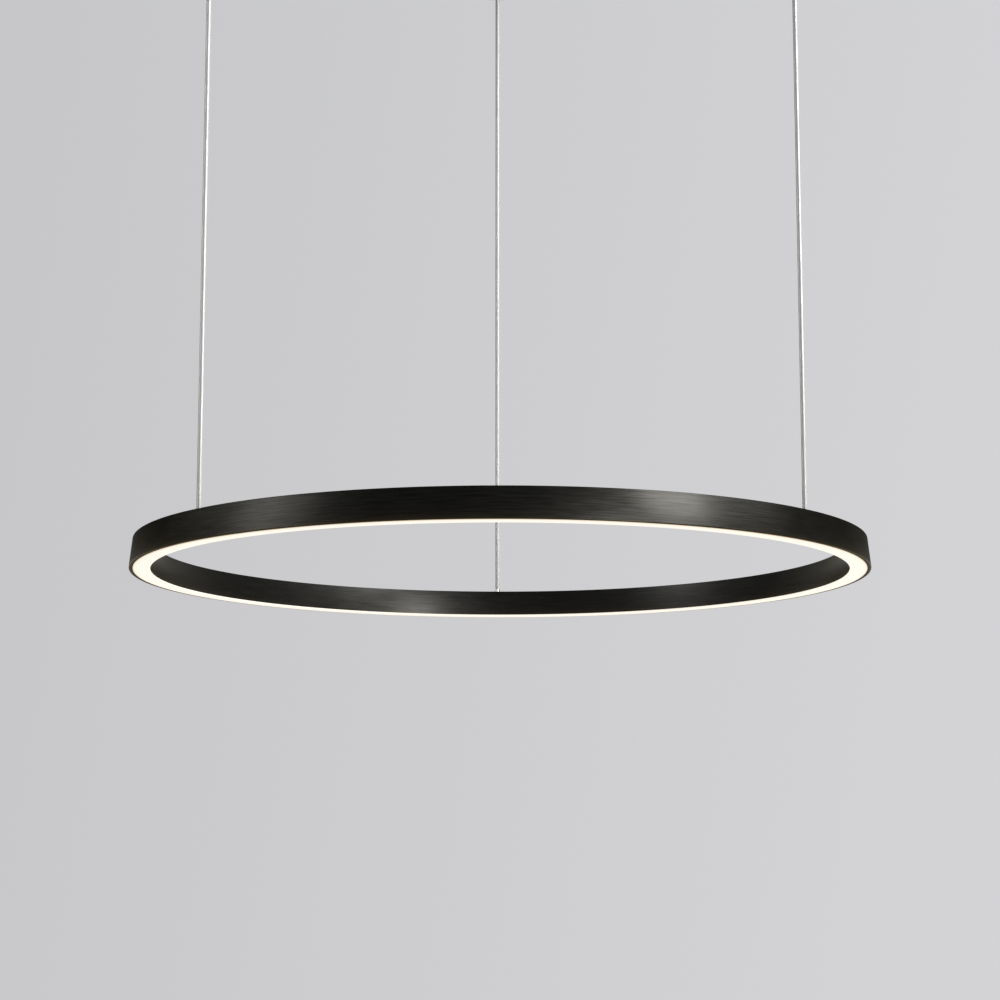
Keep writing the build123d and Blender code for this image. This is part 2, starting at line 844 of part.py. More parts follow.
save(led_driver.part, "led_driver")

ear_face = driver_top - driver_ear_thickness
with BuildPart() as driver_screws:
    with Locations((-driver_ear_x, driver_y, ear_face), (driver_ear_x, driver_y, ear_face)):
        Cylinder(
            driver_screw_head_radius,
            driver_screw_head,
            align=(Align.CENTER, Align.CENTER, Align.MAX),
        )
        Cylinder(
            driver_screw_radius, -ear_face, align=(Align.CENTER, Align.CENTER, Align.MIN)
        )
save(driver_screws.part, "driver_screws")

block_y = back_y - mains_block_offset
block_face = block_y + mains_block_width / 2
port_z = -plate_thickness - mains_block_base / 2

with BuildPart() as mains_terminal:
    with BuildSketch(Plane.XY.offset(-plate_thickness)):
        with Locations((back_x, block_y)):
            RectangleRounded(mains_block_length, mains_block_width, corner_break * 2)
    extrude(amount=-mains_block_base)
    with BuildSketch(Plane.XY.offset(-plate_thickness - mains_block_base)):
        with Locations((back_x, block_y)):
            with GridLocations(mains_pole_pitch, 1, mains_pole_count, 1):
                Circle(mains_pole_radius)
    extrude(amount=mains_block_base - mains_block_height)
    with BuildSketch(Plane.XY.offset(-plate_thickness - mains_block_height)):
        with Locations((back_x, block_y)):
            with GridLocations(mains_pole_pitch, 1, mains_pole_count, 1):
                Circle(mains_screw_radius)
    extrude(amount=mains_block_height - mains_block_base, mode=Mode.SUBTRACT)
    with BuildSketch(
        Plane(origin=(back_x, block_face, port_z), x_dir=(1, 0, 0), z_dir=(0, 1, 0))
    ):
        with GridLocations(mains_pole_pitch, 1, mains_pole_count, 1):
            Circle(mains_port_radius)
    extrude(amount=-mains_block_width, mode=Mode.SUBTRACT)
save(mains_terminal.part, "mains_terminal")

with BuildPart() as mains_grommet:
    grommet_plane = Plane(origin=(grommet_x, grommet_y, 0), x_dir=(1, 0, 0), z_dir=(0, -1, 0))
    with BuildSketch(grommet_plane):
        with BuildLine():
            Polyline(
                (grommet_bore, 0),
                (grommet_groove_radius, 0),
                (grommet_groove_radius, -plate_thickness),
                (grommet_radius, -plate_thickness),
                (grommet_radius - grommet_lip / 2, -plate_thickness - grommet_lip),
                (grommet_bore, -plate_thickness - grommet_lip),
                close=True,
            )
        make_face()
    revolve(axis=Axis((grommet_x, grommet_y, 0), (0, 0, 1)))
save(mains_grommet.part, "mains_grommet")

with BuildPart() as earth_screw:
    with Locations((earth_x, earth_y, -plate_thickness)):
        Cylinder(
            earth_washer_radius, earth_washer, align=(Align.CENTER, Align.CENTER, Align.MAX)
        )
        Cylinder(
            earth_head_radius,
            earth_washer + earth_head,
            align=(Align.CENTER, Align.CENTER, Align.MAX),
        )
        Cylinder(
            earth_screw_radius, plate_thickness, align=(Align.CENTER, Align.CENTER, Align.MIN)
        )
    with Locations((earth_x, earth_y, -plate_thickness - earth_washer - earth_head)):
        Box(
            earth_head_radius * 2,
            corner_break * 2,
            earth_head / 2,
            align=(Align.CENTER, Align.CENTER, Align.MIN),
            mode=Mode.SUBTRACT,
        )
save(earth_screw.part, "earth_screw")


def lead(points, lead_radius, bend):
    """One insulated lead, swept along straight runs joined by arcs."""
    with BuildPart() as one:
        with BuildLine() as route:
            FilletPolyline(*points, radius=bend)
        with BuildSketch(Plane(origin=route.line @ 0, z_dir=route.line % 0)):
            Circle(lead_radius)
        sweep()
    return one.part


core_level = cable_top["back"] + core_lead_rise
core_parts = [
    lead(
        [
            (back_x + s * core_lead_spacing / 2, back_y, cable_top["back"]),
            (back_x + s * core_lead_spacing / 2, back_y, core_level),
            (back_x + s * core_lead_spacing / 2, driver_face, core_level),
        ],
        core_lead_radius,
        core_lead_bend,
    )
    for s in (-1, 1)
]
with BuildPart() as output_leads:
    add(core_parts)
save(output_leads.part, "output_leads")

mains_run = driver_face - block_face
mains_parts = [
    lead(
        [
            (back_x + s * mains_pole_pitch, block_face, port_z),
            (back_x + s * mains_pole_pitch, block_face + mains_run / 3, port_z),
            (back_x + s * mains_pole_pitch, driver_face - mains_run / 3, port_z - mains_lead_drop),
            (back_x + s * mains_pole_pitch, driver_face, port_z - mains_lead_drop),
        ],
        mains_lead_radius,
        mains_lead_bend,
    )
    for s in (-1, 1)
]
with BuildPart() as mains_leads:
    add(mains_parts)
save(mains_leads.part, "mains_leads")

# the middle pole's lead turns round to the head of the earth screw
block_back = block_y - mains_block_width / 2
earth_run = block_back - earth_lead_reach
earth_head_middle = -plate_thickness - earth_washer - earth_head / 2
with BuildPart() as earth_lead:
    add(
        lead(
            [
                (back_x, block_back, port_z),
                (back_x, earth_run, port_z),
                (earth_x, earth_run, earth_head_middle),
                (earth_x, earth_y - earth_head_radius - screw_clearance, earth_head_middle),
            ],
            mains_lead_radius,
            earth_lead_bend,
        )
    )
save(earth_lead.part, "earth_lead")
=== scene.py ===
"""Looks of a ring pendant lamp: brushed black ring, lit opal underside, three upright cables."""

import json
import logging
import math
from abc import ABC, abstractmethod
from dataclasses import dataclass
from enum import Enum

import bmesh
import bpy
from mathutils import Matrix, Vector


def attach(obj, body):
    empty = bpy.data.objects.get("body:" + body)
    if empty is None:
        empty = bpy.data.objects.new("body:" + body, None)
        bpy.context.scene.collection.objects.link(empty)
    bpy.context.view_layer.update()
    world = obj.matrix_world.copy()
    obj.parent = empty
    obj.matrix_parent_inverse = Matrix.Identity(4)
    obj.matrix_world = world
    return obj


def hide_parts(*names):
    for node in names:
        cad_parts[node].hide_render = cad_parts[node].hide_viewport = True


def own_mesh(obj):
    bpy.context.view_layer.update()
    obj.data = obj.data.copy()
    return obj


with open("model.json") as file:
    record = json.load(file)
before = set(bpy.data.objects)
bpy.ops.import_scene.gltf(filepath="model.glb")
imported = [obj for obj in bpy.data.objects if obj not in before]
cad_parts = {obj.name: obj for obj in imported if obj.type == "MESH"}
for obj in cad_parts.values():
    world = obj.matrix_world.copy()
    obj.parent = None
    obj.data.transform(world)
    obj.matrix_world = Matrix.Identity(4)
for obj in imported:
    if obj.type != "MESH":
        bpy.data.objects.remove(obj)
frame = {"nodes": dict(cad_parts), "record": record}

LOG = logging.getLogger("ring_pendant")
Point2 = tuple[float, float]
Point3 = tuple[float, float, float]
Colour = tuple[float, float, float]
Range = tuple[float, float]
Socket = bpy.types.NodeSocket
Source = Socket | float | Colour

BLACK: Colour = (0.0, 0.0, 0.0)
UNDERSIDE = -0.875  # height of the ring's underside, below the ceiling
CREASE_DEGREES = 32.0  # faces that meet at more than this keep a sharp edge
WELD_DISTANCE = 1e-7
ROUND_SHARE = 0.49  # the most of a side that one corner's round may take
NOISE_RANGE: Range = (0.3, 0.7)  # where nearly all values of a noise lie
WEAVE_MAP = "round_and_up"  # the cables' map: share of a turn, and height in metres


class Side(Enum):
    """The three cables, with the angle round the ring at which each one hangs."""

    LEFT = 218.5
    RIGHT = 321.5
    BACK = 90.0

    @property
    def label(self) -> str:
        """The side's name as it stands in the names of nodes and bodies."""
        return self.name.lower()


def srgb(*steps: int) -> Colour:
    """Turn a colour written in 0 to 255 steps into the linear values that shaders take.

    Args:
        steps: Its red, green and blue steps.

    Returns:
        The linear colour.
    """
    shares = [step / 255 for step in steps]
    return tuple(s / 12.92 if s <= 0.04045 else ((s + 0.055) / 1.055) ** 2.4 for s in shares)


def scaled(colour: Colour, share: float) -> Colour:
    """A colour made darker by a share."""
    return tuple(value * share for value in colour)


# ---------------------------------------------------------------- mesh making


def rounded(corners: list[Point3], steps: int = 4) -> list[Point2]:
    """Round the corners of a flat closed outline.

    Args:
        corners: Points, each with the radius of its round in third place, 0 for a sharp corner.
        steps: Number of chords in each round.

    Returns:
        The outline with arcs in place of the rounded corners.
    """
    outline: list[Point2] = []
    count = len(corners)
    for n, (x, y, radius) in enumerate(corners):
        here = Vector((x, y))
        if radius <= 0:
            outline.append((x, y))
            continue
        before = Vector(corners[n - 1][:2]) - here
        after = Vector(corners[(n + 1) % count][:2]) - here
        a, b = before.normalized(), after.normalized()
        half = math.acos(max(-1.0, min(1.0, a.dot(b)))) / 2
        reach = min(radius / math.tan(half), before.length * ROUND_SHARE, after.length * ROUND_SHARE)
        true_radius = reach * math.tan(half)
        middle = here + (a + b).normalized() * (true_radius / math.sin(half))
        start, end = here + a * reach - middle, here + b * reach - middle
        turn = math.atan2(start.x * end.y - start.y * end.x, start.dot(end))
        for k in range(steps + 1):
            spin = turn * k / steps
            outline.append((
                middle.x + start.x * math.cos(spin) - start.y * math.sin(spin),
                middle.y + start.x * math.sin(spin) + start.y * math.cos(spin),
            ))
    return outline


def polar(centre: Point2, radius: float, spin: float) -> Point2:
    """X and Y at a radius and an angle, in radians, round a point."""
    return centre[0] + radius * math.cos(spin), centre[1] + radius * math.sin(spin)


def turns(count: int) -> list[float]:
    """The angles, in radians, of even steps round a full turn."""
    return [math.tau * k / count for k in range(count)]


def piece(
    name: str, bm: bmesh.types.BMesh, crease_degrees: float = CREASE_DEGREES
) -> bpy.types.Object:
    """Make an object of a bmesh, smooth but for its sharp edges.

    Args:
        name: Name of the new object.
        bm: The mesh, freed here.
        crease_degrees: Faces that meet at more than this angle keep a sharp edge.

    Returns:
        The object, linked into the scene.
    """
    bmesh.ops.remove_doubles(bm, verts=bm.verts, dist=WELD_DISTANCE)
    bmesh.ops.recalc_face_normals(bm, faces=bm.faces)
    crease = math.radians(crease_degrees)
    for edge in bm.edges:
        edge.smooth = not edge.is_manifold or edge.calc_face_angle(0.0) < crease
    for face in bm.faces:
        face.smooth = True
    mesh = bpy.data.meshes.new(name)
    bm.to_mesh(mesh)
    bm.free()
    made = bpy.data.objects.new(name, mesh)
    bpy.context.scene.collection.objects.link(made)
    return made


def skin(bm: bmesh.types.BMesh, rows: list[list[Point3]], whole: bool = False) -> None:
    """Join rows of points, each of them a closed turn, with faces.

    Where two rows share two points in line, as on an axis, there is nothing between them to fill.

    Args:
        bm: The mesh that takes the faces.
        rows: The rows, all with the same number of points.
        whole: Whether the last row joins the first. If not, a face closes each end.
    """
    grid = [[bm.verts.new(point) for point in row] for row in rows]
    following = grid[1:] + grid[:1] if whole else grid[1:]
    for here, there in zip(grid, following):
        for k in range(len(here)):
            m = (k + 1) % len(here)
            if here[k].co != there[k].co or here[m].co != there[m].co:
                bm.faces.new([here[k], here[m], there[m], there[k]])
    if not whole:
        bm.faces.new(list(reversed(grid[0])))
        bm.faces.new(grid[-1])


def spin_outline(
    bm: bmesh.types.BMesh,
    outline: list[Point2],
    centre: Point2,
    segments: int,
    start_degrees: float = 0.0,
    sweep_degrees: float = 360.0,
) -> None:
    """Add a closed outline, turned round an upright line, to a mesh.

    Args:
        bm: The mesh that takes the faces.
        outline: Radius and height of each point, in metres.
        centre: X and Y of the upright line.
        segments: Number of steps round.
        start_degrees: Where the turn starts.
        sweep_degrees: How far it goes; under 360 the two ends are closed.
    """
    whole = sweep_degrees >= 360.0
    rows = []
    for n in range(segments if whole else segments + 1):
        spin = math.radians(start_degrees + sweep_degrees * n / segments)
        rows.append([(*polar(centre, r, spin), z) for r, z in outline])
    skin(bm, rows, whole)


def lathe(
    name: str,
    outline: list[Point2],
    centre: Point2 = (0.0, 0.0),
    segments: int = 96,
    start_degrees: float = 0.0,
    sweep_degrees: float = 360.0,
) -> bpy.types.Object:
    """Turn a closed outline round an upright line and make it a piece.

    Args:
        name: Name of the new object.
        outline: Radius and height of each point, in metres.
        centre: X and Y of the upright line.
        segments: Number of steps round.
        start_degrees: Where the turn starts.
        sweep_degrees: How far it goes.

    Returns:
        The piece.
    """
    bm = bmesh.new()
    spin_outline(bm, outline, centre, segments, start_degrees, sweep_degrees)
    return piece(name, bm)


def carved(target: bpy.types.Object, bm: bmesh.types.BMesh) -> None:
    """Cut the closed forms of a mesh out of a piece.

    Args:
        target: The piece to cut.
        bm: The forms that are taken away, freed here.
    """
    cutter = piece(f"{target.name}_cutter", bm)
    cut = target.modifiers.new("cut", "BOOLEAN")
    cut.operation, cut.solver, cut.object = "DIFFERENCE", "EXACT", cutter
    graph = bpy.context.evaluated_depsgraph_get()
    done = bpy.data.meshes.new_from_object(target.evaluated_get(graph))
    target.modifiers.clear()
    target.data = done
    bpy.data.objects.remove(cutter)


def bored(
    target: bpy.types.Object, places: list[Point3], radius: float, depth: float, sides: int = 48
) -> None:
    """Cut round upright holes through a piece.

    Args:
        target: The piece to cut.
        places: Middle point of each hole.
        radius: Radius of the holes.
        depth: Height of the cut.
        sides: Number of sides of each hole.
    """
    bm = bmesh.new()
    for place in places:
        made = bmesh.ops.create_cone(
            bm, cap_ends=True, segments=sides, radius1=radius, radius2=radius, depth=depth
        )
        bmesh.ops.translate(bm, verts=made["verts"], vec=place)
    carved(target, bm)


def tube(
    name: str, centre: Point2, low: float, high: float, radius: float, step: float, sides: int = 40
) -> bpy.types.Object:
    """A straight upright round tube with closed ends and even rings.

    Args:
        name: Name of the new object.
        centre: X and Y of its middle line.
        low: Height of its foot.
        high: Height of its top.
        radius: Its radius.
        step: Height from ring to ring.
        sides: Number of sides.

    Returns:
        The tube.
    """
    bm = bmesh.new()
    count = max(2, round((high - low) / step))
    heights = [low + (high - low) * n / count for n in range(count + 1)]
    skin(bm, [[(*polar(centre, radius, spin), z) for spin in turns(sides)] for z in heights])
    return piece(name, bm)


def coil(
    name: str, centre: Point2, low: float, high: float, radius: float, wire: float,
    windings: int, steps: int = 28, sides: int = 12,
) -> bpy.types.Object:
    """An upright helical spring of round wire.

    Args:
        name: Name of the new object.
        centre: X and Y of its axis.
        low: Height of the wire's middle at the foot.
        high: Height of the wire's middle at the top.
        radius: Radius of the coil to the wire's middle.
        wire: Radius of the wire.
        windings: Number of turns.
        steps: Rings of the wire in each turn.
        sides: Sides of the wire.

    Returns:
        The spring.
    """
    bm = bmesh.new()
    climb = (high - low) / windings / math.tau
    rows = []
    for n in range(windings * steps + 1):
        spin = math.tau * n / steps
        outward = Vector((math.cos(spin), math.sin(spin), 0.0))
        along = Vector((-radius * math.sin(spin), radius * math.cos(spin), climb)).normalized()
        upward = outward.cross(along)
        middle = Vector((*centre, low + climb * spin)) + outward * radius
        rows.append([
            middle + wire * (outward * math.cos(turn) + upward * math.sin(turn))
            for turn in turns(sides)
        ])
    skin(bm, rows)
    return piece(name, bm)


# ---------------------------------------------------------------- shader nodes and groups


class Network:
    """A tree of shader nodes, with the nodes that most looks are made of at hand."""

    def __init__(self, tree: bpy.types.NodeTree) -> None:
        """Take up a tree.

        Args:
            tree: The tree in which the nodes are placed.
        """
        self.tree = tree
        self.nodes = tree.nodes
        self.where = self.nodes.new("ShaderNodeTexCoord")

    @property
    def spot(self) -> Socket:
        """The point on the surface, in the piece's own coordinates."""
        return self.where.outputs["Object"]

    def join(self, source: Source, socket: Socket) -> None:
        """Lead a socket into another one, or set that one to a number or a colour.

        Args:
            source: The socket, number or colour.
            socket: The socket that takes it.
        """
        if isinstance(source, Socket):
            self.tree.links.new(source, socket)
        else:
            socket.default_value = (*source, 1.0) if isinstance(source, tuple) else source

    def put(self, node: bpy.types.Node, **values: Source) -> bpy.types.Node:
        """Give a node's inputs their values.

        Args:
            node: The node.
            values: A socket, number or colour for each input, with _ for a space in its name.

        Returns:
            The node.
        """
        for label, value in values.items():
            self.join(value, node.inputs[label.replace("_", " ")])
        return node

    def place(self, kind: str, **values: Source) -> bpy.types.Node:
        """Place a node of a kind, with its inputs as put takes them, and return it."""
        return self.put(self.nodes.new(kind), **values)

    def math(self, kind: str, *values: Source) -> Socket:
        """Place a math node.

        Args:
            kind: Its operation.
            values: Its inputs, in order.

        Returns:
            The result's socket.
        """
        node = self.nodes.new("ShaderNodeMath")
        node.operation = kind
        for value, socket in zip(values, node.inputs):
            self.join(value, socket)
        return node.outputs[0]

    def level(self, x: Socket, y: Socket) -> Socket:
        """Distance from the upright axis."""
        squares = self.math("ADD", self.math("MULTIPLY", x, x), self.math("MULTIPLY", y, y))
        return self.math("SQRT", squares)

    def axes(self, vector: Socket) -> list[Socket]:
        """Split a vector into its X, Y and Z."""
        return list(self.place("ShaderNodeSeparateXYZ", Vector=vector).outputs)

    def noise(self, vector: Socket, scale: Source, detail: float, roughness: float = 0.5) -> Socket:
        """Place a noise.

        Args:
            vector: Where it is read.
            scale: Its grains for each metre.
            detail: Its octaves.
            roughness: Share of the finer octaves.

        Returns:
            The noise's socket.
        """
        return self.place("ShaderNodeTexNoise", Vector=vector, Scale=scale, Detail=detail,
                          Roughness=roughness).outputs["Fac"]

    def span(self, source: Socket, low: float, high: float, out_low: float = 0.0,
             out_high: float = 1.0, smooth: bool = False) -> Socket:
        """Map a value from one range to another.

        Args:
            source: The value.
            low: Start of the range that comes in.
            high: Its end.
            out_low: Start of the range that goes out.
            out_high: Its end.
            smooth: Whether the way between the ends eases in and out.

        Returns:
            The mapped value.
        """
        node = self.place("ShaderNodeMapRange", Value=source, From_Min=low, From_Max=high,
                          To_Min=out_low, To_Max=out_high)
        node.interpolation_type = "SMOOTHSTEP" if smooth else "LINEAR"
        return node.outputs["Result"]

    def graded(self, noise: Socket, low: float, high: float) -> Socket:
        """Spread the values that a noise has nearly everywhere over a range."""
        return self.span(noise, *NOISE_RANGE, low, high)

    def mixed(self, share: Socket, a: Source, b: Source) -> Socket:
        """Mix two colours.

        Args:
            share: The second colour's share.
            a: First colour.
            b: Second colour.

        Returns:
            The mixed colour.
        """
        node = self.nodes.new("ShaderNodeMix")
        node.data_type = "RGBA"
        sockets = [node.inputs["Factor"], *(s for s in node.inputs if s.type == "RGBA")]
        for value, socket in zip((share, a, b), sockets):
            self.join(value, socket)
        return next(s for s in node.outputs if s.type == "RGBA")

    def mottled(self, noise: Socket, deep: Colour, light: Colour) -> Socket:
        """Mix two colours by a noise."""
        return self.mixed(self.graded(noise, 0.0, 1.0), deep, light)


class Group(Network):
    """A shader node group with named numbers in and out, built once and placed where it is wanted."""

    def __init__(self, name: str, inputs: dict[str, float], outputs: list[str]) -> None:
        """Make the empty group.

        Args:
            name: Name of the group.
            inputs: Its inputs with their default values.
            outputs: Its outputs.
        """
        super().__init__(bpy.data.node_groups.new(name, "ShaderNodeTree"))
        for label, value in inputs.items():
            self._add_socket(label, "INPUT").default_value = value
        for label in outputs:
            self._add_socket(label, "OUTPUT")
        self.inlet = self.nodes.new("NodeGroupInput")
        self.outlet = self.nodes.new("NodeGroupOutput")

    def _add_socket(self, label: str, way: str) -> bpy.types.NodeTreeInterfaceSocket:
        """Add a number socket to the group's face."""
        return self.tree.interface.new_socket(name=label, in_out=way, socket_type="NodeSocketFloat")

    def given(self, label: str) -> Socket:
        """The value that the group is placed with."""
        return self.inlet.outputs[label]

    def send(self, source: Socket, label: str) -> None:
        """Join a socket to one of the group's outputs."""
        self.join(source, self.outlet.inputs[label])


class Effects:
    """The shader groups that several finishes share."""

    brushed_radius: float = 0.39  # turns an angle round the ring into a length
    flat_share: float = 0.7  # of the way out counts as height, so that level faces have lines too
    mottle_share: float = 0.09  # of the grains' scale

    def __init__(self, seam_degrees: float) -> None:
        """Build the groups.

        Args:
            seam_degrees: Angle round the ring at which the brushed lines may start and end.
        """
        self.brushing = self._brushing(seam_degrees)
        self.speckle = self._speckle()
        self.cloud = self._cloud()
        self.height_fade = self._height_fade()
        self.rim_fade = self._rim_fade()

    def _brushing(self, seam_degrees: float) -> bpy.types.NodeTree:
        """Lines that run round the upright axis, as a wheel leaves them.

        Args:
            seam_degrees: Angle round the axis at which the lines start and end.

        Returns:
            The group, with the lines, their finer part and slow patches.
        """
        group = Group(
            "BrushedRound",
            {"Across per m": 820.0, "Along per m": 20.0, "Patch per m": 30.0},
            ["Lines", "Hairs", "Patches"],
        )
        turned = group.place("ShaderNodeVectorRotate", Vector=group.spot,
                             Angle=math.radians(180.0 - seam_degrees))
        turned.rotation_type = "Z_AXIS"
        x, y, z = group.axes(turned.outputs["Vector"])
        run = group.math("MULTIPLY", group.math("ARCTAN2", y, x), self.brushed_radius)
        across = group.math("ADD", z, group.math("MULTIPLY", group.level(x, y), self.flat_share))
        for label, across_times, along_times, detail in (
            ("Lines", 1.0, 1.0, 3.0),
            ("Hairs", 2.1, 1.7, 2.0),
        ):
            along_scale = group.math("MULTIPLY", group.given("Along per m"), along_times)
            across_scale = group.math("MULTIPLY", group.given("Across per m"), across_times)
            spot = group.place("ShaderNodeCombineXYZ", X=group.math("MULTIPLY", run, along_scale),
                               Y=group.math("MULTIPLY", across, across_scale))
            group.send(group.noise(spot.outputs[0], 1.0, detail, roughness=0.6), label)
        group.send(group.noise(group.spot, group.given("Patch per m"), detail=2.0), "Patches")
        return group.tree

    def _speckle(self) -> bpy.types.NodeTree:
        """The fine even bumps of powder coat, moulded plastic or silicone.

        Returns:
            The group, with the bumps and a softer mottle of the same place.
        """
        group = Group("FineSpeckle", {"Grains per m": 1500.0}, ["Bumps", "Mottle"])
        grains = group.given("Grains per m")
        group.send(group.noise(group.spot, grains, detail=3.0, roughness=0.55), "Bumps")
        slow = group.math("MULTIPLY", grains, self.mottle_share)
        group.send(group.noise(group.spot, slow, detail=2.0), "Mottle")
        return group.tree

    def _cloud(self) -> bpy.types.NodeTree:
        """The frosted patches of zinc or a lightly handled metal.

        Returns:
            The group, with the patches' flat tones.
        """
        group = Group("MetalPatches", {"Patches per m": 160.0}, ["Tone"])
        cells = group.place("ShaderNodeTexVoronoi", Vector=group.spot,
                            Scale=group.given("Patches per m"))
        cells.feature = "F1"
        split = group.place("ShaderNodeSeparateColor", Color=cells.outputs["Color"])
        group.send(split.outputs[0], "Tone")
        return group.tree

    def _height_fade(self) -> bpy.types.NodeTree:
        """A mask that is 1 at a height and fades out above it.

        Returns:
            The group.
        """
        group = Group("FadeUpward", {"Height m": 0.0, "Reach m": 0.01}, ["Mask"])
        above = group.math("SUBTRACT", group.axes(group.spot)[2], group.given("Height m"))
        share = group.math("DIVIDE", above, group.given("Reach m"))
        group.send(group.math("EXPONENT", group.math("MULTIPLY", share, -1.0)), "Mask")
        return group.tree

    def _rim_fade(self) -> bpy.types.NodeTree:
        """A mask that is 1 at a radius round the upright axis and fades out inside it.

        Returns:
            The group.
        """
        group = Group("FadeInward", {"Radius m": 1.0, "Reach m": 0.01}, ["Mask"])
        x, y, _ = group.axes(group.spot)
        inside = group.math("SUBTRACT", group.level(x, y), group.given("Radius m"))
        share = group.math("DIVIDE", inside, group.given("Reach m"))
        group.send(group.math("MINIMUM", group.math("EXPONENT", share), 1.0), "Mask")
        return group.tree


# ---------------------------------------------------------------- finishes


class Shading(Network):
    """One material in the making, with its Principled shader at hand."""

    def __init__(self, name: str) -> None:
        """Make the material.

        Args:
            name: Name of the material.
        """
        self.material = bpy.data.materials.new(name)
        self.material.use_nodes = True
        super().__init__(self.material.node_tree)
        self.shader = self.nodes["Principled BSDF"]

    def set(self, **values: Source) -> None:
        """Give the shader's inputs their values, as put takes them."""
        self.put(self.shader, **values)

    def effect(self, group: bpy.types.NodeTree, **values: float) -> bpy.types.Node:
        """Place a shared group in the material.

        Args:
            group: The group.
            values: Its inputs, with _ for a space.

        Returns:
            The group's node.
        """
        node = self.nodes.new("ShaderNodeGroup")
        node.node_tree = group
        return self.put(node, **values)

    def bump(self, height: Socket, depth: float, strength: float) -> None:
        """Bend the surface's light by a height.

        Args:
            height: The height, 0 to 1.
            depth: Depth of the full height in metres.
            strength: Share of the effect.
        """
        bent = self.place("ShaderNodeBump", Height=height, Distance=depth, Strength=strength)
        self.set(Normal=bent.outputs["Normal"])


class Finish(ABC):
    """A finish of the lamp. Each kind says how its shader is fed."""

    name: str

    def make(self, effects: Effects) -> bpy.types.Material:
        """Build the material.

        Args:
            effects: The shared shader groups.

        Returns:
            The material.
        """
        look = Shading(self.name)
        self.paint(look, effects)
        return look.material

    @abstractmethod
    def paint(self, look: Shading, effects: Effects) -> None:
        """Feed the shader of a material.

        Args:
            look: The material in the making.
            effects: The shared shader groups.
        """


@dataclass(frozen=True)
class BrushedBlack(Finish):
    """Black anodised aluminium, brushed round the ring, with a painted warm glow along its lower edge
    for the strip's light spill.
    """

    name: str = "brushed_black"
    dark: Colour = (0.0255, 0.0249, 0.0226)
    pale: Colour = (0.0445, 0.0434, 0.0394)
    grazing: Colour = (0.55, 0.54, 0.50)
    lines_share: float = 0.55
    hairs_share: float = 0.45
    streak: Range = (0.41, 0.59)
    roughness: Range = (0.31, 0.40)
    patch_roughness: Range = (-0.02, 0.03)
    drawn_out: float = 0.35
    quarter_turn: float = 0.25
    depth: float = 0.00003
    depth_share: float = 0.5
    inner_radius: float = 0.384
    inner_blur: float = 0.004
    inner_share: float = 0.76
    inner_coat: float = 0.5
    coat_roughness: float = 0.30
    coat_ior: float = 1.3
    # painted light: warm emission on the lowest few millimetres of the housing, standing in for the
    # strip's light spilling onto it
    glow: Colour = (0.014, 0.0095, 0.004)
    painted_spill_reach: float = 0.0030

    def paint(self, look: Shading, effects: Effects) -> None:
        """Feed the shader with the brushing, part the inner wall from the outer one, and paint the
        strip's spill on as a glow.

        Args:
            look: The material in the making.
            effects: The shared shader groups.
        """
        brushed = look.effect(effects.brushing)
        lines, hairs = brushed.outputs["Lines"], brushed.outputs["Hairs"]
        both = look.math("ADD", look.math("MULTIPLY", lines, self.lines_share),
                         look.math("MULTIPLY", hairs, self.hairs_share))
        streak = look.span(both, *self.streak)
        outer = look.effect(effects.rim_fade, Radius_m=self.inner_radius, Reach_m=self.inner_blur)
        inner = look.math("SUBTRACT", 1.0, outer.outputs["Mask"])
        outer_tone = look.mixed(streak, self.dark, self.pale)
        inner_tone = look.mixed(streak, scaled(self.dark, self.inner_share),
                                scaled(self.pale, self.inner_share))
        # painted light: emission that fades upward from the underside, in place of the strip's spill on
        # the walls
        fade = look.effect(effects.height_fade, Height_m=UNDERSIDE, Reach_m=self.painted_spill_reach)
        around = look.place("ShaderNodeTangent")
        around.direction_type, around.axis = "RADIAL", "Z"
        look.set(
            Base_Color=look.mixed(inner, outer_tone, inner_tone),
            Roughness=look.math("ADD", look.graded(hairs, *self.roughness),
                                look.graded(brushed.outputs["Patches"], *self.patch_roughness)),
            Metallic=1.0,
            Specular_Tint=self.grazing,
            Anisotropic=self.drawn_out,
            Anisotropic_Rotation=self.quarter_turn,
            Tangent=around.outputs[0],
            Coat_Weight=look.math("MULTIPLY", inner, self.inner_coat),
            Coat_Roughness=self.coat_roughness,
            Coat_IOR=self.coat_ior,
            Emission_Color=look.mixed(fade.outputs["Mask"], BLACK, self.glow),
            Emission_Strength=1.0,
        )
        look.bump(both, self.depth, self.depth_share)


@dataclass(frozen=True)
class LitOpal(Finish):
    """Opal plastic strip lit from behind, almost as bright as a picture can hold."""

    name: str = "lit_opal"
    seen: Colour = (0.940, 0.868, 0.768)
    dim_share: float = 0.97
    rim: Colour = (0.74, 0.63, 0.46)
    cast: Colour = (1.9, 1.35, 0.85)
    skin: Colour = (0.31, 0.30, 0.275)
    roughness: float = 0.5
    grains_per_m: float = 900.0
    depth: float = 0.00001
    depth_share: float = 0.3
    outer_radius: float = 0.3955
    rim_reach: float = 0.0017

    def paint(self, look: Shading, effects: Effects) -> None:
        """Feed the shader with its own light, warmer at the lip and where it falls on others.

        Args:
            look: The material in the making.
            effects: The shared shader groups.
        """
        grain = look.effect(effects.speckle, Grains_per_m=self.grains_per_m)
        edge = look.effect(effects.rim_fade, Radius_m=self.outer_radius, Reach_m=self.rim_reach)
        face = look.mottled(grain.outputs["Mottle"], scaled(self.seen, self.dim_share), self.seen)
        face = look.mixed(edge.outputs["Mask"], face, self.rim)
        direct = look.place("ShaderNodeLightPath").outputs["Is Camera Ray"]
        look.set(
            Base_Color=self.skin,
            Roughness=self.roughness,
            Emission_Color=look.mixed(direct, self.cast, face),
            Emission_Strength=1.0,
        )
        look.bump(grain.outputs["Bumps"], self.depth, self.depth_share)


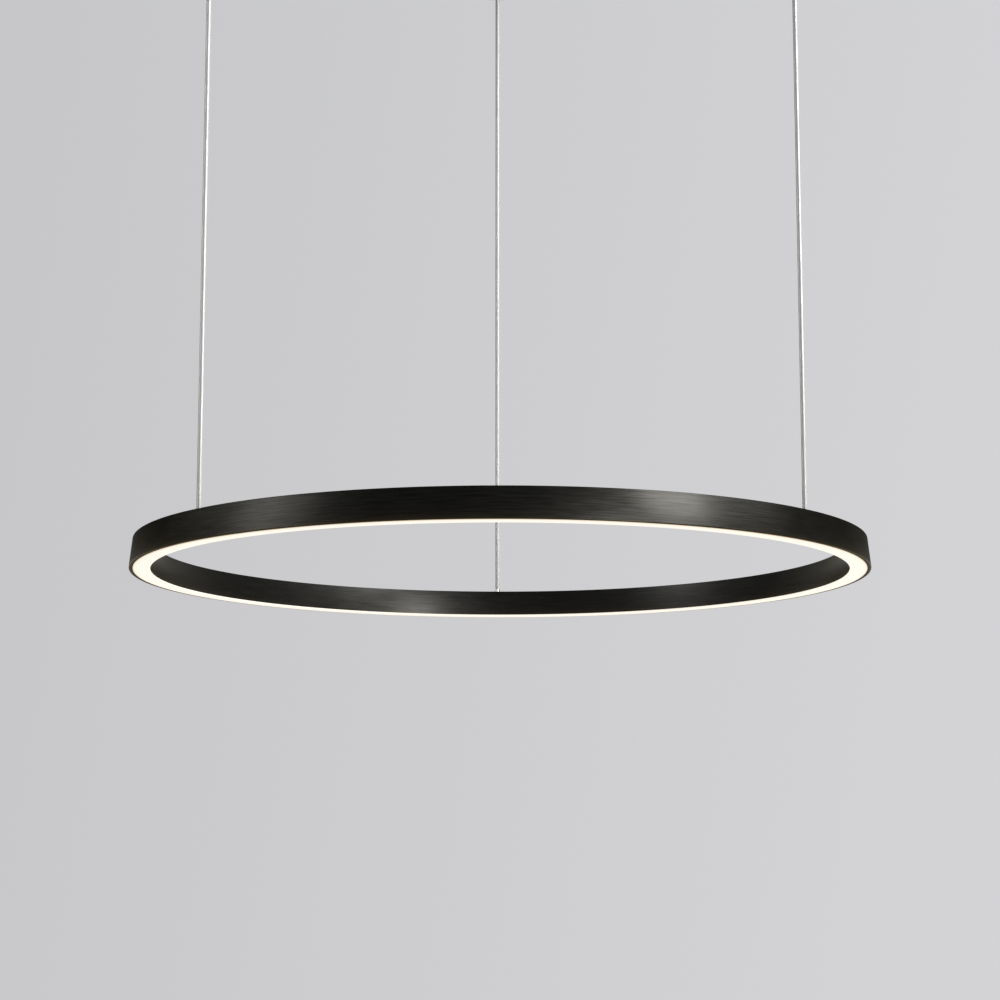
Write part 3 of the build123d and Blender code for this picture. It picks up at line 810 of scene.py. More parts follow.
@dataclass(frozen=True)
class ClearJacket(Finish):
    """Clear cable jacket over a pale woven braid."""

    name: str = "clear_jacket"
    pale: Colour = (0.74, 0.74, 0.73)
    gap: Colour = (0.69, 0.69, 0.68)
    pitch: float = 0.0042
    strands: int = 10
    weave: Range = (-0.2, 0.9)
    metallic: float = 0.15
    roughness: Range = (0.30, 0.42)
    grains_per_m: float = 2200.0
    coat: float = 0.8
    coat_roughness: float = 0.08
    coat_ior: float = 1.5
    depth: float = 0.00004
    depth_share: float = 0.16

    def paint(self, look: Shading, effects: Effects) -> None:
        """Feed the shader with two sets of strands that cross, under a clear coat.

        Args:
            look: The material in the making.
            effects: The shared shader groups.
        """
        unrolled = look.nodes.new("ShaderNodeUVMap")
        unrolled.uv_map = WEAVE_MAP
        around, up, _ = look.axes(unrolled.outputs[0])
        turn = look.math("MULTIPLY", around, math.tau * self.strands)
        rise = look.math("MULTIPLY", up, math.tau / self.pitch)
        one = look.math("SINE", look.math("ADD", turn, rise))
        other = look.math("SINE", look.math("SUBTRACT", turn, rise))
        weave = look.math("MAXIMUM", one, other)
        grain = look.effect(effects.speckle, Grains_per_m=self.grains_per_m)
        look.set(
            Base_Color=look.mixed(look.span(weave, *self.weave), self.gap, self.pale),
            Metallic=self.metallic,
            Roughness=look.graded(grain.outputs["Mottle"], *self.roughness),
            Coat_Weight=self.coat,
            Coat_Roughness=self.coat_roughness,
            Coat_IOR=self.coat_ior,
        )
        look.bump(weave, self.depth, self.depth_share)


@dataclass(frozen=True)
class TurnedNickel(Finish):
    """Nickel plated turned metal, with the fine rings that the tool leaves."""

    name: str = "turned_nickel"
    bright: Colour = (0.64, 0.62, 0.59)
    dull: Colour = (0.57, 0.55, 0.52)
    roughness: Range = (0.20, 0.27)
    grains_per_m: float = 1400.0
    rings_per_m: float = 520.0
    depth: float = 0.000004
    depth_share: float = 0.5

    def paint(self, look: Shading, effects: Effects) -> None:
        """Feed the shader with slow patches and the tool's rings.

        Args:
            look: The material in the making.
            effects: The shared shader groups.
        """
        height = look.axes(look.spot)[2]
        rings = look.math("SINE", look.math("MULTIPLY", height, self.rings_per_m * math.tau))
        patches = look.effect(effects.speckle, Grains_per_m=self.grains_per_m).outputs["Mottle"]
        look.set(
            Base_Color=look.mottled(patches, self.dull, self.bright),
            Metallic=1.0,
            Roughness=look.graded(patches, *self.roughness),
        )
        look.bump(rings, self.depth, self.depth_share)


@dataclass(frozen=True)
class CoatedBlack(Finish):
    """Satin black powder coat with its fine orange peel."""

    name: str = "coated_black"
    dark: Colour = (0.0105, 0.0103, 0.0098)
    pale: Colour = (0.0185, 0.0182, 0.0172)
    roughness: float = 0.42
    glossier: float = 0.05
    duller: float = 0.06
    grains_per_m: float = 1100.0
    depth: float = 0.00004
    depth_share: float = 0.45

    def paint(self, look: Shading, effects: Effects) -> None:
        """Feed the shader with a faint mottle and the orange peel.

        Args:
            look: The material in the making.
            effects: The shared shader groups.
        """
        grain = look.effect(effects.speckle, Grains_per_m=self.grains_per_m)
        mottle = grain.outputs["Mottle"]
        look.set(
            Base_Color=look.mottled(mottle, self.dark, self.pale),
            Roughness=look.graded(mottle, self.roughness - self.glossier,
                                  self.roughness + self.duller),
        )
        look.bump(grain.outputs["Bumps"], self.depth, self.depth_share)


@dataclass(frozen=True)
class PlainMetal(Finish):
    """Plated or bare metal with frosted patches."""

    name: str
    bright: Colour
    dull: Colour
    roughness: float = 0.32
    glossier: float = 0.05
    duller: float = 0.07
    grain_roughness: Range = (-0.03, 0.03)
    patches_per_m: float = 260.0
    grains_per_m: float = 1800.0
    depth: float = 0.00001
    depth_share: float = 0.35

    def paint(self, look: Shading, effects: Effects) -> None:
        """Feed the shader with the patches and a fine grain.

        Args:
            look: The material in the making.
            effects: The shared shader groups.
        """
        frost = look.effect(effects.cloud, Patches_per_m=self.patches_per_m).outputs["Tone"]
        grain = look.effect(effects.speckle, Grains_per_m=self.grains_per_m).outputs["Bumps"]
        patchy = look.span(frost, 0.0, 1.0, self.roughness - self.glossier,
                           self.roughness + self.duller)
        look.set(
            Base_Color=look.mixed(frost, self.dull, self.bright),
            Metallic=1.0,
            Roughness=look.math("ADD", patchy, look.graded(grain, *self.grain_roughness)),
        )
        look.bump(grain, self.depth, self.depth_share)


@dataclass(frozen=True)
class Moulded(Finish):
    """Moulded plastic, rubber or silicone with a fine spark texture."""

    name: str
    light: Colour
    deep: Colour
    roughness: float = 0.5
    roughness_spread: float = 0.06
    grains_per_m: float = 1600.0
    depth: float = 0.00003
    depth_share: float = 0.5
    glow: float = 0.0

    def paint(self, look: Shading, effects: Effects) -> None:
        """Feed the shader with the surface's colour and its spark texture.

        Args:
            look: The material in the making.
            effects: The shared shader groups.
        """
        grain = look.effect(effects.speckle, Grains_per_m=self.grains_per_m)
        tone = self.tone(look, grain.outputs["Mottle"])
        bumps = grain.outputs["Bumps"]
        look.set(
            Base_Color=tone,
            Roughness=look.graded(bumps, self.roughness - self.roughness_spread,
                                  self.roughness + self.roughness_spread),
        )
        look.bump(bumps, self.depth, self.depth_share)
        if self.glow > 0:
            look.set(Emission_Color=tone, Emission_Strength=self.glow)

    def tone(self, look: Shading, mottle: Socket) -> Socket:
        """Mix the surface's colour by its mottle."""
        return look.mottled(mottle, self.deep, self.light)


@dataclass(frozen=True)
class StripedLead(Moulded):
    """Insulation of a lead in two colours, the light one in a stripe along its upper and lower side."""

    stripe_side: Point3 = (0.35, 0.20, -0.915)
    stripe_edge: Range = (0.64, 0.70)

    def tone(self, look: Shading, mottle: Socket) -> Socket:
        """Part the two colours by the way the surface faces.

        Args:
            look: The material in the making.
            mottle: The surface's mottle, which a plain lead's colour takes; not used here.

        Returns:
            The colour.
        """
        facing = look.nodes.new("ShaderNodeVectorMath")
        facing.operation = "DOT_PRODUCT"
        look.join(look.where.outputs["Normal"], facing.inputs[0])
        facing.inputs[1].default_value = self.stripe_side
        share = look.span(look.math("ABSOLUTE", facing.outputs["Value"]), *self.stripe_edge)
        return look.mixed(share, self.deep, self.light)


class Finishes:
    """Every finish of the lamp, under the record's slot names."""

    def __init__(self, effects: Effects) -> None:
        """Make the materials.

        Args:
            effects: The shared shader groups.
        """
        makers = {
            "ring_black": BrushedBlack(),
            "opal": LitOpal(),
            "cable_clear": ClearJacket(),
            "nickel": TurnedNickel(),
            "cover_black": CoatedBlack(),
            "collar_black": CoatedBlack("collar_black", roughness=0.34, depth=0.00002),
            "zinc_steel": PlainMetal("zinc_steel", (0.38, 0.39, 0.41), (0.28, 0.29, 0.31), 0.64),
            "mill_aluminium": PlainMetal("mill_aluminium", (0.80, 0.81, 0.82), (0.70, 0.71, 0.72)),
            "ball_steel": PlainMetal("ball_steel", (0.62, 0.62, 0.63), (0.55, 0.55, 0.56), 0.14),
            "brass": PlainMetal("brass", (0.80, 0.58, 0.26), (0.68, 0.47, 0.20), 0.26),
            "board_white": Moulded("board_white", (0.86, 0.86, 0.84), (0.80, 0.80, 0.79), 0.35),
            "phosphor": Moulded("phosphor", (0.95, 0.76, 0.28), (0.90, 0.66, 0.20), 0.4, glow=0.6),
            "driver_white": Moulded("driver_white", (0.84, 0.84, 0.82), (0.79, 0.79, 0.77), 0.48),
            "nylon_white": Moulded("nylon_white", (0.84, 0.82, 0.76), (0.78, 0.76, 0.70), 0.4),
            "grommet_rubber": Moulded("grommet_rubber", (0.03, 0.03, 0.03), (0.02, 0.02, 0.02), 0.7),
            "lead_white": Moulded("lead_white", (0.84, 0.83, 0.80), (0.78, 0.77, 0.74), 0.38),
            "lead_green": StripedLead("lead_green", (0.78, 0.58, 0.03), (0.055, 0.30, 0.045), 0.38),
        }
        self.materials = {slot: maker.make(effects) for slot, maker in makers.items()}

    def fit(self, made: bpy.types.Object, slot: str, body: str, node: str) -> bpy.types.Object:
        """Give a new piece its finish and its body, and let it stand for its CAD node.

        Args:
            made: The piece.
            slot: The record's slot.
            body: The body that carries it.
            node: The node.

        Returns:
            The piece.
        """
        made.data.materials.clear()
        made.data.materials.append(self.materials[slot])
        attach(made, body)
        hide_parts(node)
        return made

    def dress_nodes(self) -> int:
        """Give every carried-over CAD node the finish of its slot.

        Returns:
            The number of nodes.
        """
        wanted = {row["node"]: row["material_slot"] for row in frame["record"]["subparts"]}
        for name, node in frame["nodes"].items():
            for held in node.material_slots:
                held.link = "OBJECT"
                held.material = self.materials[wanted[name]]
        return len(frame["nodes"])


# ---------------------------------------------------------------- the lamp's sub-assemblies


@dataclass
class RingBody:
    """The ring: its black housing and the lit strip in its underside.

    Its heights are measured up from the underside.
    """

    finishes: Finishes
    radius: float = 0.400
    height: float = 0.0318
    width: float = 0.0228
    lean_degrees: float = 6.4
    outer_wall: float = 0.0020
    inner_wall: float = 0.0016
    web_seat: float = 0.0268
    lip_width: float = 0.0044
    lip_thickness: float = 0.0018
    corner_round: float = 0.00055
    seam_degrees: float = 97.0
    seam_gap: float = 0.00008
    flange: float = 0.0008
    strip_thickness: float = 0.0020
    strip_gap: float = 0.0001
    strip_stand: float = 0.0004
    sleeve_hole: float = 0.0031
    hole_middle: float = 0.0288
    hole_depth: float = 0.012
    cable_circle: float = 0.385394
    segments: int = 540

    @property
    def lean(self) -> float:
        """Sideways run of the walls for each metre of height."""
        return math.tan(math.radians(self.lean_degrees))

    def section(self, inset: float, height: float, edge: float = 0.0) -> Point3:
        """A corner of the section.

        Args:
            inset: Distance in from the leaning outer wall.
            height: Height above the underside.
            edge: Radius of the corner's round.

        Returns:
            Radius on the ring, height in the frame and the corner's round.
        """
        return self.radius - inset - height * self.lean, UNDERSIDE + height, edge

    def build_housing(self) -> bpy.types.Object:
        """Turn the black profile, with its closing seam and the three sleeve holes.

        Returns:
            The housing.
        """
        channel_in = self.width - self.inner_wall
        inner_height = self.height - self.width * self.lean
        edge = self.corner_round
        outline = rounded([
            self.section(0.0, 0.0, edge),
            self.section(0.0, self.height, edge),
            self.section(self.width, inner_height, edge),
            self.section(self.width, self.flange),
            self.section(channel_in, self.flange),
            self.section(channel_in, self.web_seat),
            self.section(self.outer_wall, self.web_seat),
            self.section(self.outer_wall, self.lip_thickness),
            self.section(self.lip_width, self.lip_thickness),
            self.section(self.lip_width, 0.0, edge / 3),
        ])
        gap = math.degrees(self.seam_gap / self.radius)
        housing = lathe(
            "RingHousing",
            outline,
            segments=self.segments,
            start_degrees=self.seam_degrees + gap / 2,
            sweep_degrees=360.0 - gap,
        )
        holes = [(*self.around(side), UNDERSIDE + self.hole_middle) for side in Side]
        bored(housing, holes, self.sleeve_hole, self.hole_depth)
        return self.finishes.fit(housing, "ring_black", "ring", "ring_housing")

    def build_strip(self) -> bpy.types.Object:
        """Turn the opal strip that closes the underside.

        Returns:
            The strip.
        """
        outer = self.lip_width + self.strip_gap
        inner_leg = self.width - self.inner_wall - self.strip_gap
        edge = self.corner_round / 2
        outline = rounded([
            self.section(outer, -self.strip_stand, edge),
            self.section(outer, self.strip_thickness),
            self.section(inner_leg, self.strip_thickness),
            self.section(inner_leg, self.flange - self.strip_gap),
            self.section(self.width, self.flange - self.strip_gap),
            self.section(self.width, -self.strip_stand, edge / 2),
        ])
        strip = lathe("OpalStrip", outline, segments=self.segments)
        return self.finishes.fit(strip, "opal", "ring", "diffuser")

    def around(self, side: Side) -> Point2:
        """X and Y of a cable."""
        return polar((0.0, 0.0), self.cable_circle, math.radians(side.value))


@dataclass
class Suspension:
    """One cable with the sleeve that holds it in the ring.

    Its heights are those of the shared frame, with the ceiling at 0.
    """

    finishes: Finishes
    side: Side
    place: Point2
    top: float
    foot: float = -0.8557
    radius: float = 0.0024
    ring_step: float = 0.01
    path_steps: int = 12
    travel: float = 0.5
    sleeve_radius: float = 0.0030
    sleeve_top: float = -0.841495
    sleeve_edge: float = 0.0004
    sleeve_segments: int = 64
    washer_face: float = -0.8492
    shoulder_radius: float = 0.0050
    shoulder_face: float = -0.8517
    crimp_radius: float = 0.0040
    sleeve_foot: float = -0.8567
    bore: float = 0.0025

    def build_cable(self) -> bpy.types.Object:
        """Make the taut cable, which shortens as the ring is drawn up.

        Returns:
            The cable.
        """
        label = self.side.label
        cable = tube(
            f"Cable_{label}", self.place, self.foot, self.top, self.radius, self.ring_step
        )
        self._unroll(cable)
        self.finishes.fit(cable, "cable_clear", "ceiling", f"suspension_cable_{label}")
        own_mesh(cable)
        return cable

    def _unroll(self, cable: bpy.types.Object) -> None:
        """Lay a map on the cable: share of the turn, and height in metres.

        Args:
            cable: The cable.
        """
        layer = cable.data.uv_layers.new(name=WEAVE_MAP)
        for face in cable.data.polygons:
            spots = [cable.data.vertices[n].co for n in face.vertices]
            shares = [
                math.atan2(spot.y - self.place[1], spot.x - self.place[0]) / math.tau % 1.0
                for spot in spots
            ]
            wraps = max(shares) - min(shares) > 0.5
            for loop, spot, share in zip(face.loop_indices, spots, shares):
                layer.data[loop].uv = (share + 1.0 if wraps and share < 0.5 else share, spot.z)

    def build_sleeve(self) -> bpy.types.Object:
        """Turn the sleeve, of which a little stands above the ring.

        Returns:
            The sleeve.
        """
        label, edge = self.side.label, self.sleeve_edge
        outline = rounded([
            (self.bore, self.sleeve_top, edge / 2),
            (self.sleeve_radius, self.sleeve_top, edge),
            (self.sleeve_radius, self.washer_face, 0.0),
            (self.shoulder_radius, self.washer_face, 0.0),
            (self.shoulder_radius, self.shoulder_face, edge),
            (self.crimp_radius, self.shoulder_face, 0.0),
            (self.crimp_radius, self.sleeve_foot, edge),
            (self.bore, self.sleeve_foot, 0.0),
        ])
        sleeve = lathe(f"Sleeve_{label}", outline, self.place, self.sleeve_segments)
        return self.finishes.fit(sleeve, "nickel", "ring", f"anchor_sleeve_{label}")


@dataclass
class Cover:
    """A ceiling cover with the knurled collar that holds it up."""

    finishes: Finishes
    label: str
    place: Point2
    node: str
    body: str
    radius: float
    depth: float
    wall: float = 0.0012
    rim: float = -0.0005
    rim_round: float = 0.0003
    edge: float = 0.0024
    edge_steps: int = 6
    segments: int = 192
    hole: float = 0.0073
    hole_round: float = 0.0002
    collar_radius: float = 0.0110
    collar_height: float = 0.0070
    collar_bore: float = 0.0071
    collar_slope: float = 0.0008
    collar_crease_degrees: float = 40.0
    ridges: int = 40
    ridge_steps: int = 6
    ridge_depth: float = 0.0005

    def build_shell(self) -> bpy.types.Object:
        """Turn the thin open shell.

        Returns:
            The shell.
        """
        low = -self.depth
        outline = rounded([
            (self.radius, self.rim, self.rim_round),
            (self.radius, low, self.edge),
            (self.hole, low, self.hole_round),
            (self.hole, low + self.wall, self.hole_round),
            (self.radius - self.wall, low + self.wall, self.edge - self.wall),
            (self.radius - self.wall, self.rim, self.rim_round),
        ], steps=self.edge_steps)
        shell = lathe(f"Cover_{self.label}", outline, self.place, self.segments)
        return self.finishes.fit(shell, "cover_black", self.body, self.node)

    def build_collar(self) -> bpy.types.Object:
        """Make the knurled collar under the shell.

        Returns:
            The collar.
        """
        top, foot, slope = -self.depth, -self.depth - self.collar_height, self.collar_slope
        edge = (
            (slope, 0.0, 0.0),
            (slope * 0.3, slope * 0.5, 0.3),
            (0.0, slope, 1.0),
        )
        profile = [
            (self.collar_bore, top, 0.0),
            *((self.collar_radius - inset, top - drop, share) for inset, drop, share in edge),
            *((self.collar_radius - inset, foot + drop, share) for inset, drop, share in edge[::-1]),
            (self.collar_bore, foot, 0.0),
        ]
        rows = []
        for r, z, share in profile:
            row = []
            for spin in turns(self.ridges * self.ridge_steps):
                wave = 0.5 - 0.5 * math.cos(spin * self.ridges)
                reach = r - self.ridge_depth * share * wave ** 2
                row.append((*polar(self.place, reach, spin), z))
            rows.append(row)
        bm = bmesh.new()
        skin(bm, rows, whole=True)
        collar = piece(f"Collar_{self.label}", bm, self.collar_crease_degrees)
        return self.finishes.fit(
            collar, "collar_black", self.body, f"cover_collar_{self.label}"
        )


@dataclass
class Gripper:
    """The gripper whose nose shows below a collar, with the spring inside it.

    Its heights are depths below the top of its stem.
    """

    finishes: Finishes
    side: Side
    place: Point2
    top: float
    bore: float = 0.0027
    stem_radius: float = 0.0050
    stem_round: float = 0.0003
    stem: float = 0.008
    barrel_radius: float = 0.0070
    shoulder_round: float = 0.0004
    barrel_foot: float = 0.034
    waist_round: float = 0.0006
    foot: float = 0.040
    nose_radius: float = 0.0050
    nose_round: float = 0.0005
    mouth_round: float = 0.0002
    nipple_radius: float = 0.0035
    nipple_slip: float = 0.00015
    chamber_radius: float = 0.0056
    chamber_narrow: float = 0.0042
    chamber_top: float = 0.012
    cone_start: float = 0.024
    plunger_face: float = 0.0218436
    push: float = 0.0022
    spring_radius: float = 0.0042
    spring_wire: float = 0.0003
    spring_windings: int = 4
    spring_gap: float = 0.00005

    def build_body(self) -> bpy.types.Object:
        """Turn the gripper's barrel and tapered nose.

        Returns:
            The body.
        """
        clear = self.nipple_radius + self.nipple_slip
        corners = [
            (self.bore, 0.0, 0.0),
            (self.stem_radius, 0.0, self.stem_round),
            (self.stem_radius, self.stem, 0.0),
            (self.barrel_radius, self.stem, self.shoulder_round),
            (self.barrel_radius, self.barrel_foot, self.waist_round),
            (self.nose_radius, self.foot, self.nose_round),
            (clear, self.foot, self.mouth_round),
            (clear, self.barrel_foot, 0.0),
            (self.chamber_narrow, self.barrel_foot, 0.0),
            (self.chamber_radius, self.cone_start, 0.0),
            (self.chamber_radius, self.chamber_top, 0.0),
            (self.bore, self.chamber_top, 0.0),
        ]
        outline = rounded([(r, self.top - depth, edge) for r, depth, edge in corners])
        label = self.side.label
        body = lathe(f"Gripper_{label}", outline, self.place)
        return self.finishes.fit(body, "nickel", "ceiling", f"gripper_body_{label}")

    def build_spring(self) -> bpy.types.Object:
        """Wind the spring that the release plunger squeezes against the chamber's roof.

        Returns:
            The spring.
        """
        label = self.side.label
        roof, face = self.top - self.chamber_top, self.top - self.plunger_face
        inset = self.spring_wire + self.spring_gap
        spring = coil(
            f"Spring_{label}", self.place, face + inset, roof - inset,
            self.spring_radius, self.spring_wire, self.spring_windings,
        )
        self.finishes.fit(spring, "ball_steel", "ceiling", f"release_spring_{label}")
        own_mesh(spring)
        return spring


@dataclass
class PanScrews:
    """Two pan head screws side by side in X, driven upwards, with crossed recesses."""

    finishes: Finishes
    name: str
    node: str
    middle: Point2
    spacing: float
    segments: int = 48
    face: float = -0.0045
    head_radius: float = 0.0032
    head: float = 0.0020
    head_round: float = 0.0011
    face_round: float = 0.0001
    shank_radius: float = 0.00175
    tip_round: float = 0.0003
    recess_length: float = 0.0036
    recess_width: float = 0.0007
    recess_depth: float = 0.0010

    def build(self) -> bpy.types.Object:
        """Turn both screws and cut their recesses.

        Returns:
            The pair as one piece.
        """
        low = self.face - self.head
        outline = rounded([
            (0.0, low, 0.0),
            (self.head_radius, low, self.head_round),
            (self.head_radius, self.face, self.face_round),
            (self.shank_radius, self.face, 0.0),
            (self.shank_radius, 0.0, self.tip_round),
            (0.0, 0.0, 0.0),
        ])
        bm, recesses = bmesh.new(), bmesh.new()
        cross = self._cross()
        for share in (-0.5, 0.5):
            x, y = self.middle[0] + share * self.spacing, self.middle[1]
            spin_outline(bm, outline, (x, y), self.segments)
            skin(recesses, [
                [(x + dx, y + dy, low + dz) for dx, dy in cross]
                for dz in (-self.recess_depth, self.recess_depth)
            ])
        screws = piece(self.name, bm)
        carved(screws, recesses)
        return self.finishes.fit(screws, "zinc_steel", "ceiling", self.node)

    def _cross(self) -> list[Point2]:
        """Draw a recess: the end of one arm, turned by a quarter three times.

        Returns:
            The outline of the four arms.
        """
        reach, half = self.recess_length / 2, self.recess_width / 2
        corners: list[Point2] = []
        for _ in range(4):
            corners = [(reach, -half), (reach, half), (half, half)] + [(-y, x) for x, y in corners]
        return corners


# ---------------------------------------------------------------- studio


@dataclass(frozen=True)
class Softbox:
    """A soft rectangular lamp that faces the ring and shows in gloss, not on matt surfaces.

    Its azimuth is in degrees from the camera's side towards +X.
    """

    name: str
    azimuth: float
    distance: float
    height: float
    width: float
    length: float
    radiance: float
    aim: Point3 = (0.0, 0.0, -0.86)

    def hang(self) -> None:
        """Make the lamp and hang it in its place."""
        data = bpy.data.lights.new(self.name, "AREA")
        data.shape, data.size, data.size_y = "RECTANGLE", self.width, self.length
        data.energy = self.radiance * math.pi * self.width * self.length
        lamp = bpy.data.objects.new(self.name, data)
        spin = math.radians(self.azimuth)
        lamp.location = (self.distance * math.sin(spin), -self.distance * math.cos(spin), self.height)
        lamp.rotation_mode = "QUATERNION"
        lamp.rotation_quaternion = (Vector(self.aim) - lamp.location).to_track_quat("-Z", "Y")
        lamp.visible_camera = False
        lamp.visible_diffuse = False
        bpy.context.scene.collection.objects.link(lamp)


@dataclass
class Studio:
    """Camera, lamps, floor and the pale surroundings.

    The camera stands at -Y. What it sees is a sheet in two greys. Gloss shows a dark room that is
    bright low down at +Y, and matt surfaces are lit by a soft room with a bright side at +X.
    """

    backdrop_left: Colour = srgb(199, 199, 201)
    backdrop_right: Colour = srgb(211, 211, 213)
    backdrop_reach: float = 0.2
    backdrop_slope: float = -0.17
    backdrop_shift: float = 0.027
    soft_room: Colour = (0.26, 0.26, 0.263)
    soft_sheet: Colour = (0.70, 0.70, 0.71)
    soft_side: Colour = (3.3, 3.28, 3.22)
    soft_side_edge: Range = (0.35, 0.95)
    room_above: Colour = (0.135, 0.135, 0.13)
    room_below: Colour = (0.215, 0.213, 0.205)
    behind_above: Colour = (0.085, 0.085, 0.081)
    behind_below: Colour = (1.6, 1.57, 1.48)
    behind_edge: Range = (0.25, 0.85)
    above_edge: Range = (0.04, 0.15)
    ahead_below: Colour = (0.13, 0.12, 0.105)
    ahead_edge: Range = (0.955, 1.0)
    ahead_rise: Range = (-0.06, 0.06)
    floor_base: Colour = (0.34, 0.34, 0.345)
    floor_seen: Colour = (0.085, 0.085, 0.086)
    floor_lift: Colour = (0.52, 0.52, 0.527)
    floor_height: float = -1.62
    floor_radius: float = 5.0
    floor_sides: int = 96
    floor_fade: Range = (0.25, 0.95)
    camera_distance: float = 2.680
    camera_height: float = -1.2318
    camera_orbit_degrees: float = -0.5
    camera_pitch_degrees: float = 9.315
    lens: float = 89.4
    sensor: float = 36.0
    view_depth: float = 100.0
    lamps: tuple[Softbox, ...] = (
        Softbox("key_high", 51.5, 2.6, 0.25, 0.80, 1.10, 16.0),
        Softbox("key_edge", 77.0, 2.6, 0.25, 0.90, 1.10, 1.8),
        Softbox("key_low", 31.2, 2.55, -1.18, 0.33, 0.55, 35.5),
        Softbox("fill_high", -71.0, 2.8, 0.08, 0.98, 1.2, 4.4),
        Softbox("fill_low", -72.0, 2.5, -1.18, 0.8, 0.55, 0.95),
        Softbox("fill_edge", -101.0, 2.7, 0.25, 0.80, 1.10, 0.6),
    )

    def place_camera(self) -> None:
        """Set the camera below the ring, looking up at it."""
        data = bpy.data.cameras.new("camera")
        data.lens, data.sensor_width, data.clip_end = self.lens, self.sensor, self.view_depth
        camera = bpy.data.objects.new("camera", data)
        orbit = math.radians(self.camera_orbit_degrees)
        camera.location = (
            self.camera_distance * math.sin(orbit),
            -self.camera_distance * math.cos(orbit),
            self.camera_height,
        )
        camera.rotation_euler = (math.radians(90.0 + self.camera_pitch_degrees), 0.0, orbit)
        bpy.context.scene.collection.objects.link(camera)
        bpy.context.scene.camera = camera

    def light(self) -> None:
        """Hang the lamps."""
        for lamp in self.lamps:
            lamp.hang()

    def surround(self) -> None:
        """Colour the world for the camera, for gloss and for matt surfaces."""
        world = bpy.data.worlds.new("surround")
        world.use_nodes = True
        bpy.context.scene.world = world
        sky = Network(world.node_tree)
        x, y, z = sky.axes(sky.where.outputs["Generated"])
        reach = self.backdrop_reach
        across = sky.span(sky.math("MULTIPLY_ADD", z, self.backdrop_slope,
                                   sky.math("ADD", x, self.backdrop_shift)), -reach, reach)
        straight = sky.math("DIVIDE", y, sky.level(x, y))
        ahead = sky.span(straight, *self.ahead_edge, smooth=True)
        behind = sky.span(straight, *self.behind_edge, smooth=True)
        above = sky.span(z, *self.above_edge, smooth=True)
        beside = sky.span(x, *self.soft_side_edge, smooth=True)
        risen = sky.span(z, *self.ahead_rise, smooth=True)
        sheet = sky.mixed(across, self.backdrop_left, self.backdrop_right)
        high = sky.mixed(behind, self.room_above, self.behind_above)
        low = sky.mixed(behind, self.room_below, self.behind_below)
        facing = sky.mixed(risen, self.ahead_below, sheet)
        gloss = sky.mixed(ahead, sky.mixed(above, low, high), facing)
        soft = sky.mixed(behind, self.soft_room, self.soft_sheet)
        soft = sky.mixed(beside, soft, self.soft_side)
        rays = sky.place("ShaderNodeLightPath").outputs
        unseen = sky.mixed(rays["Is Glossy Ray"], soft, gloss)
        seen = sky.math("MAXIMUM", rays["Is Camera Ray"], rays["Is Transmission Ray"])
        sky.put(sky.nodes["Background"], Color=sky.mixed(seen, unseen, sheet), Strength=1.0)

    def lay_floor(self) -> None:
        """Lay a round pale floor that fades into the surroundings at its edge."""
        bm = bmesh.new()
        bmesh.ops.create_circle(
            bm, cap_ends=True, segments=self.floor_sides, radius=self.floor_radius
        )
        floor = piece("floor", bm)
        floor.location.z = self.floor_height
        look = Shading("floor")
        seen = look.place("ShaderNodeLightPath").outputs["Is Camera Ray"]
        length = look.nodes.new("ShaderNodeVectorMath")
        length.operation = "LENGTH"
        look.join(look.spot, length.inputs[0])
        start, end = (share * self.floor_radius for share in self.floor_fade)
        fade = look.span(length.outputs["Value"], start, end, 1.0, 0.0)
        back = look.place("ShaderNodeNewGeometry").outputs["Backfacing"]
        look.set(
            Base_Color=look.mixed(seen, self.floor_base, self.floor_seen),
            Roughness=1.0,
            Specular_IOR_Level=0.0,
            Emission_Color=look.mixed(seen, BLACK, self.floor_lift),
            Emission_Strength=1.0,
            Alpha=look.math("MULTIPLY", fade, look.math("SUBTRACT", 1.0, back)),
        )
        floor.data.materials.append(look.material)


# ---------------------------------------------------------------- putting it together


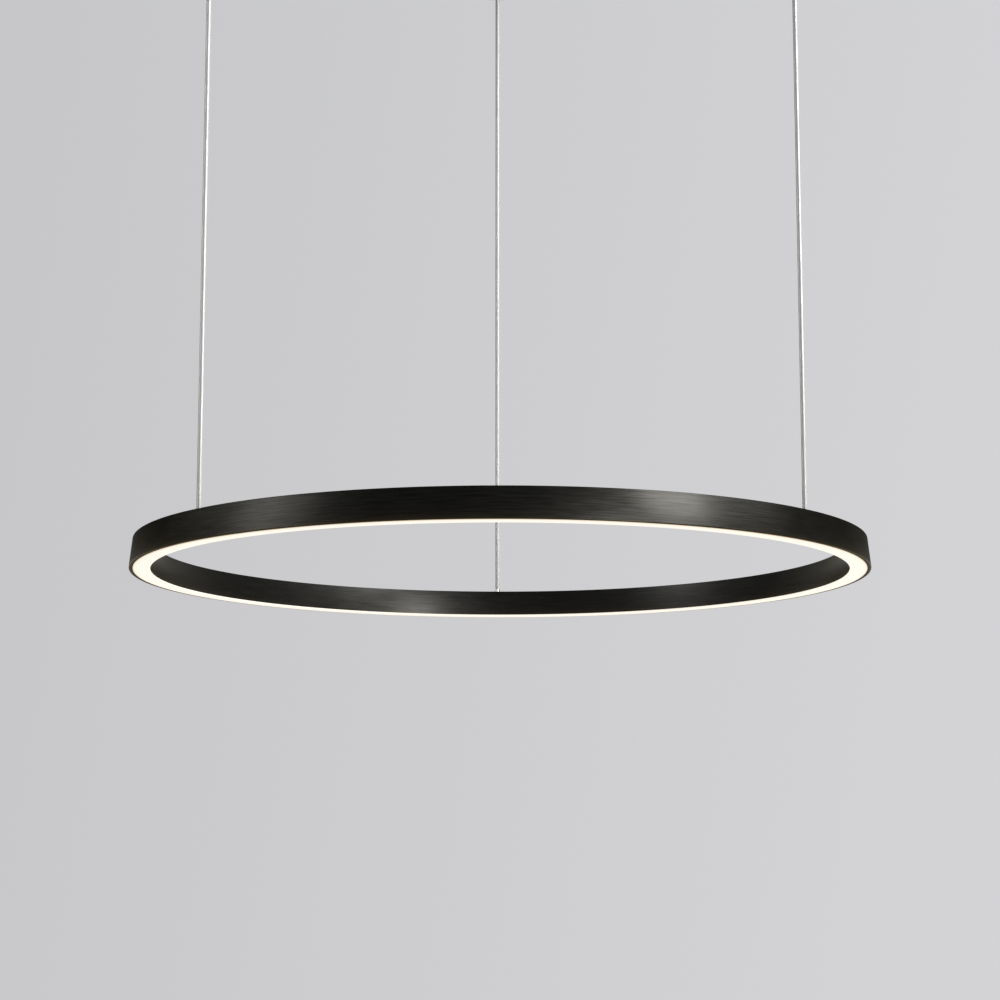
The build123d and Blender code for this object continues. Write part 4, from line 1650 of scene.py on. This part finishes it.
@dataclass(frozen=True)
class Hanger:
    """Where one cable and its gripper end at the ceiling, and the cover that hides the place."""

    cable_top: float
    gripper_top: float
    cover_node: str
    cover_body: str
    cover_radius: float
    cover_depth: float


HANGERS = {
    Side.LEFT: Hanger(-0.00125, -0.0025, "cup_cover_left", "left_cover", 0.030, 0.026),
    Side.RIGHT: Hanger(-0.00125, -0.0025, "cup_cover_right", "right_cover", 0.030, 0.026),
    Side.BACK: Hanger(-0.0135, -0.0225, "canopy_cover", "canopy", 0.075, 0.046),
}
BRIDGE_SPAN = 0.062  # from screw to screw on the gripper's bridge
DRIVER_SPAN = 0.091  # from screw to screw on the driver
DRIVER_AHEAD = 0.037  # from the back cable to the driver's screws, towards +Y


def report(*made: bpy.types.Object) -> None:
    """Log the names of new pieces."""
    for each in made:
        LOG.info("made %s", each.name)


def main() -> None:
    """Build the lamp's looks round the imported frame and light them."""
    logging.basicConfig(level=logging.INFO, format="%(name)s: %(message)s")
    bpy.context.scene.view_settings.view_transform = "Standard"
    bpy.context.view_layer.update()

    studio = Studio()
    studio.place_camera()
    studio.surround()
    studio.light()
    studio.lay_floor()

    finishes = Finishes(Effects(RingBody.seam_degrees))
    LOG.info("dressed %d nodes", finishes.dress_nodes())
    ring = RingBody(finishes)
    report(ring.build_housing(), ring.build_strip())

    for side, hanger in HANGERS.items():
        place = ring.around(side)
        line = Suspension(finishes, side, place, hanger.cable_top)
        cover = Cover(finishes, side.label, place, hanger.cover_node, hanger.cover_body,
                      hanger.cover_radius, hanger.cover_depth)
        gripper = Gripper(finishes, side, place, hanger.gripper_top)
        report(
            line.build_cable(), line.build_sleeve(), cover.build_shell(), cover.build_collar(),
            gripper.build_body(), gripper.build_spring(),
        )

    back_x, back_y = ring.around(Side.BACK)
    driver_place = (back_x, back_y + DRIVER_AHEAD)
    report(
        PanScrews(finishes, "BridgeScrews", "bridge_screws", (back_x, back_y), BRIDGE_SPAN).build(),
        PanScrews(finishes, "DriverScrews", "driver_screws", driver_place, DRIVER_SPAN).build(),
    )


if __name__ == "__main__":
    main()
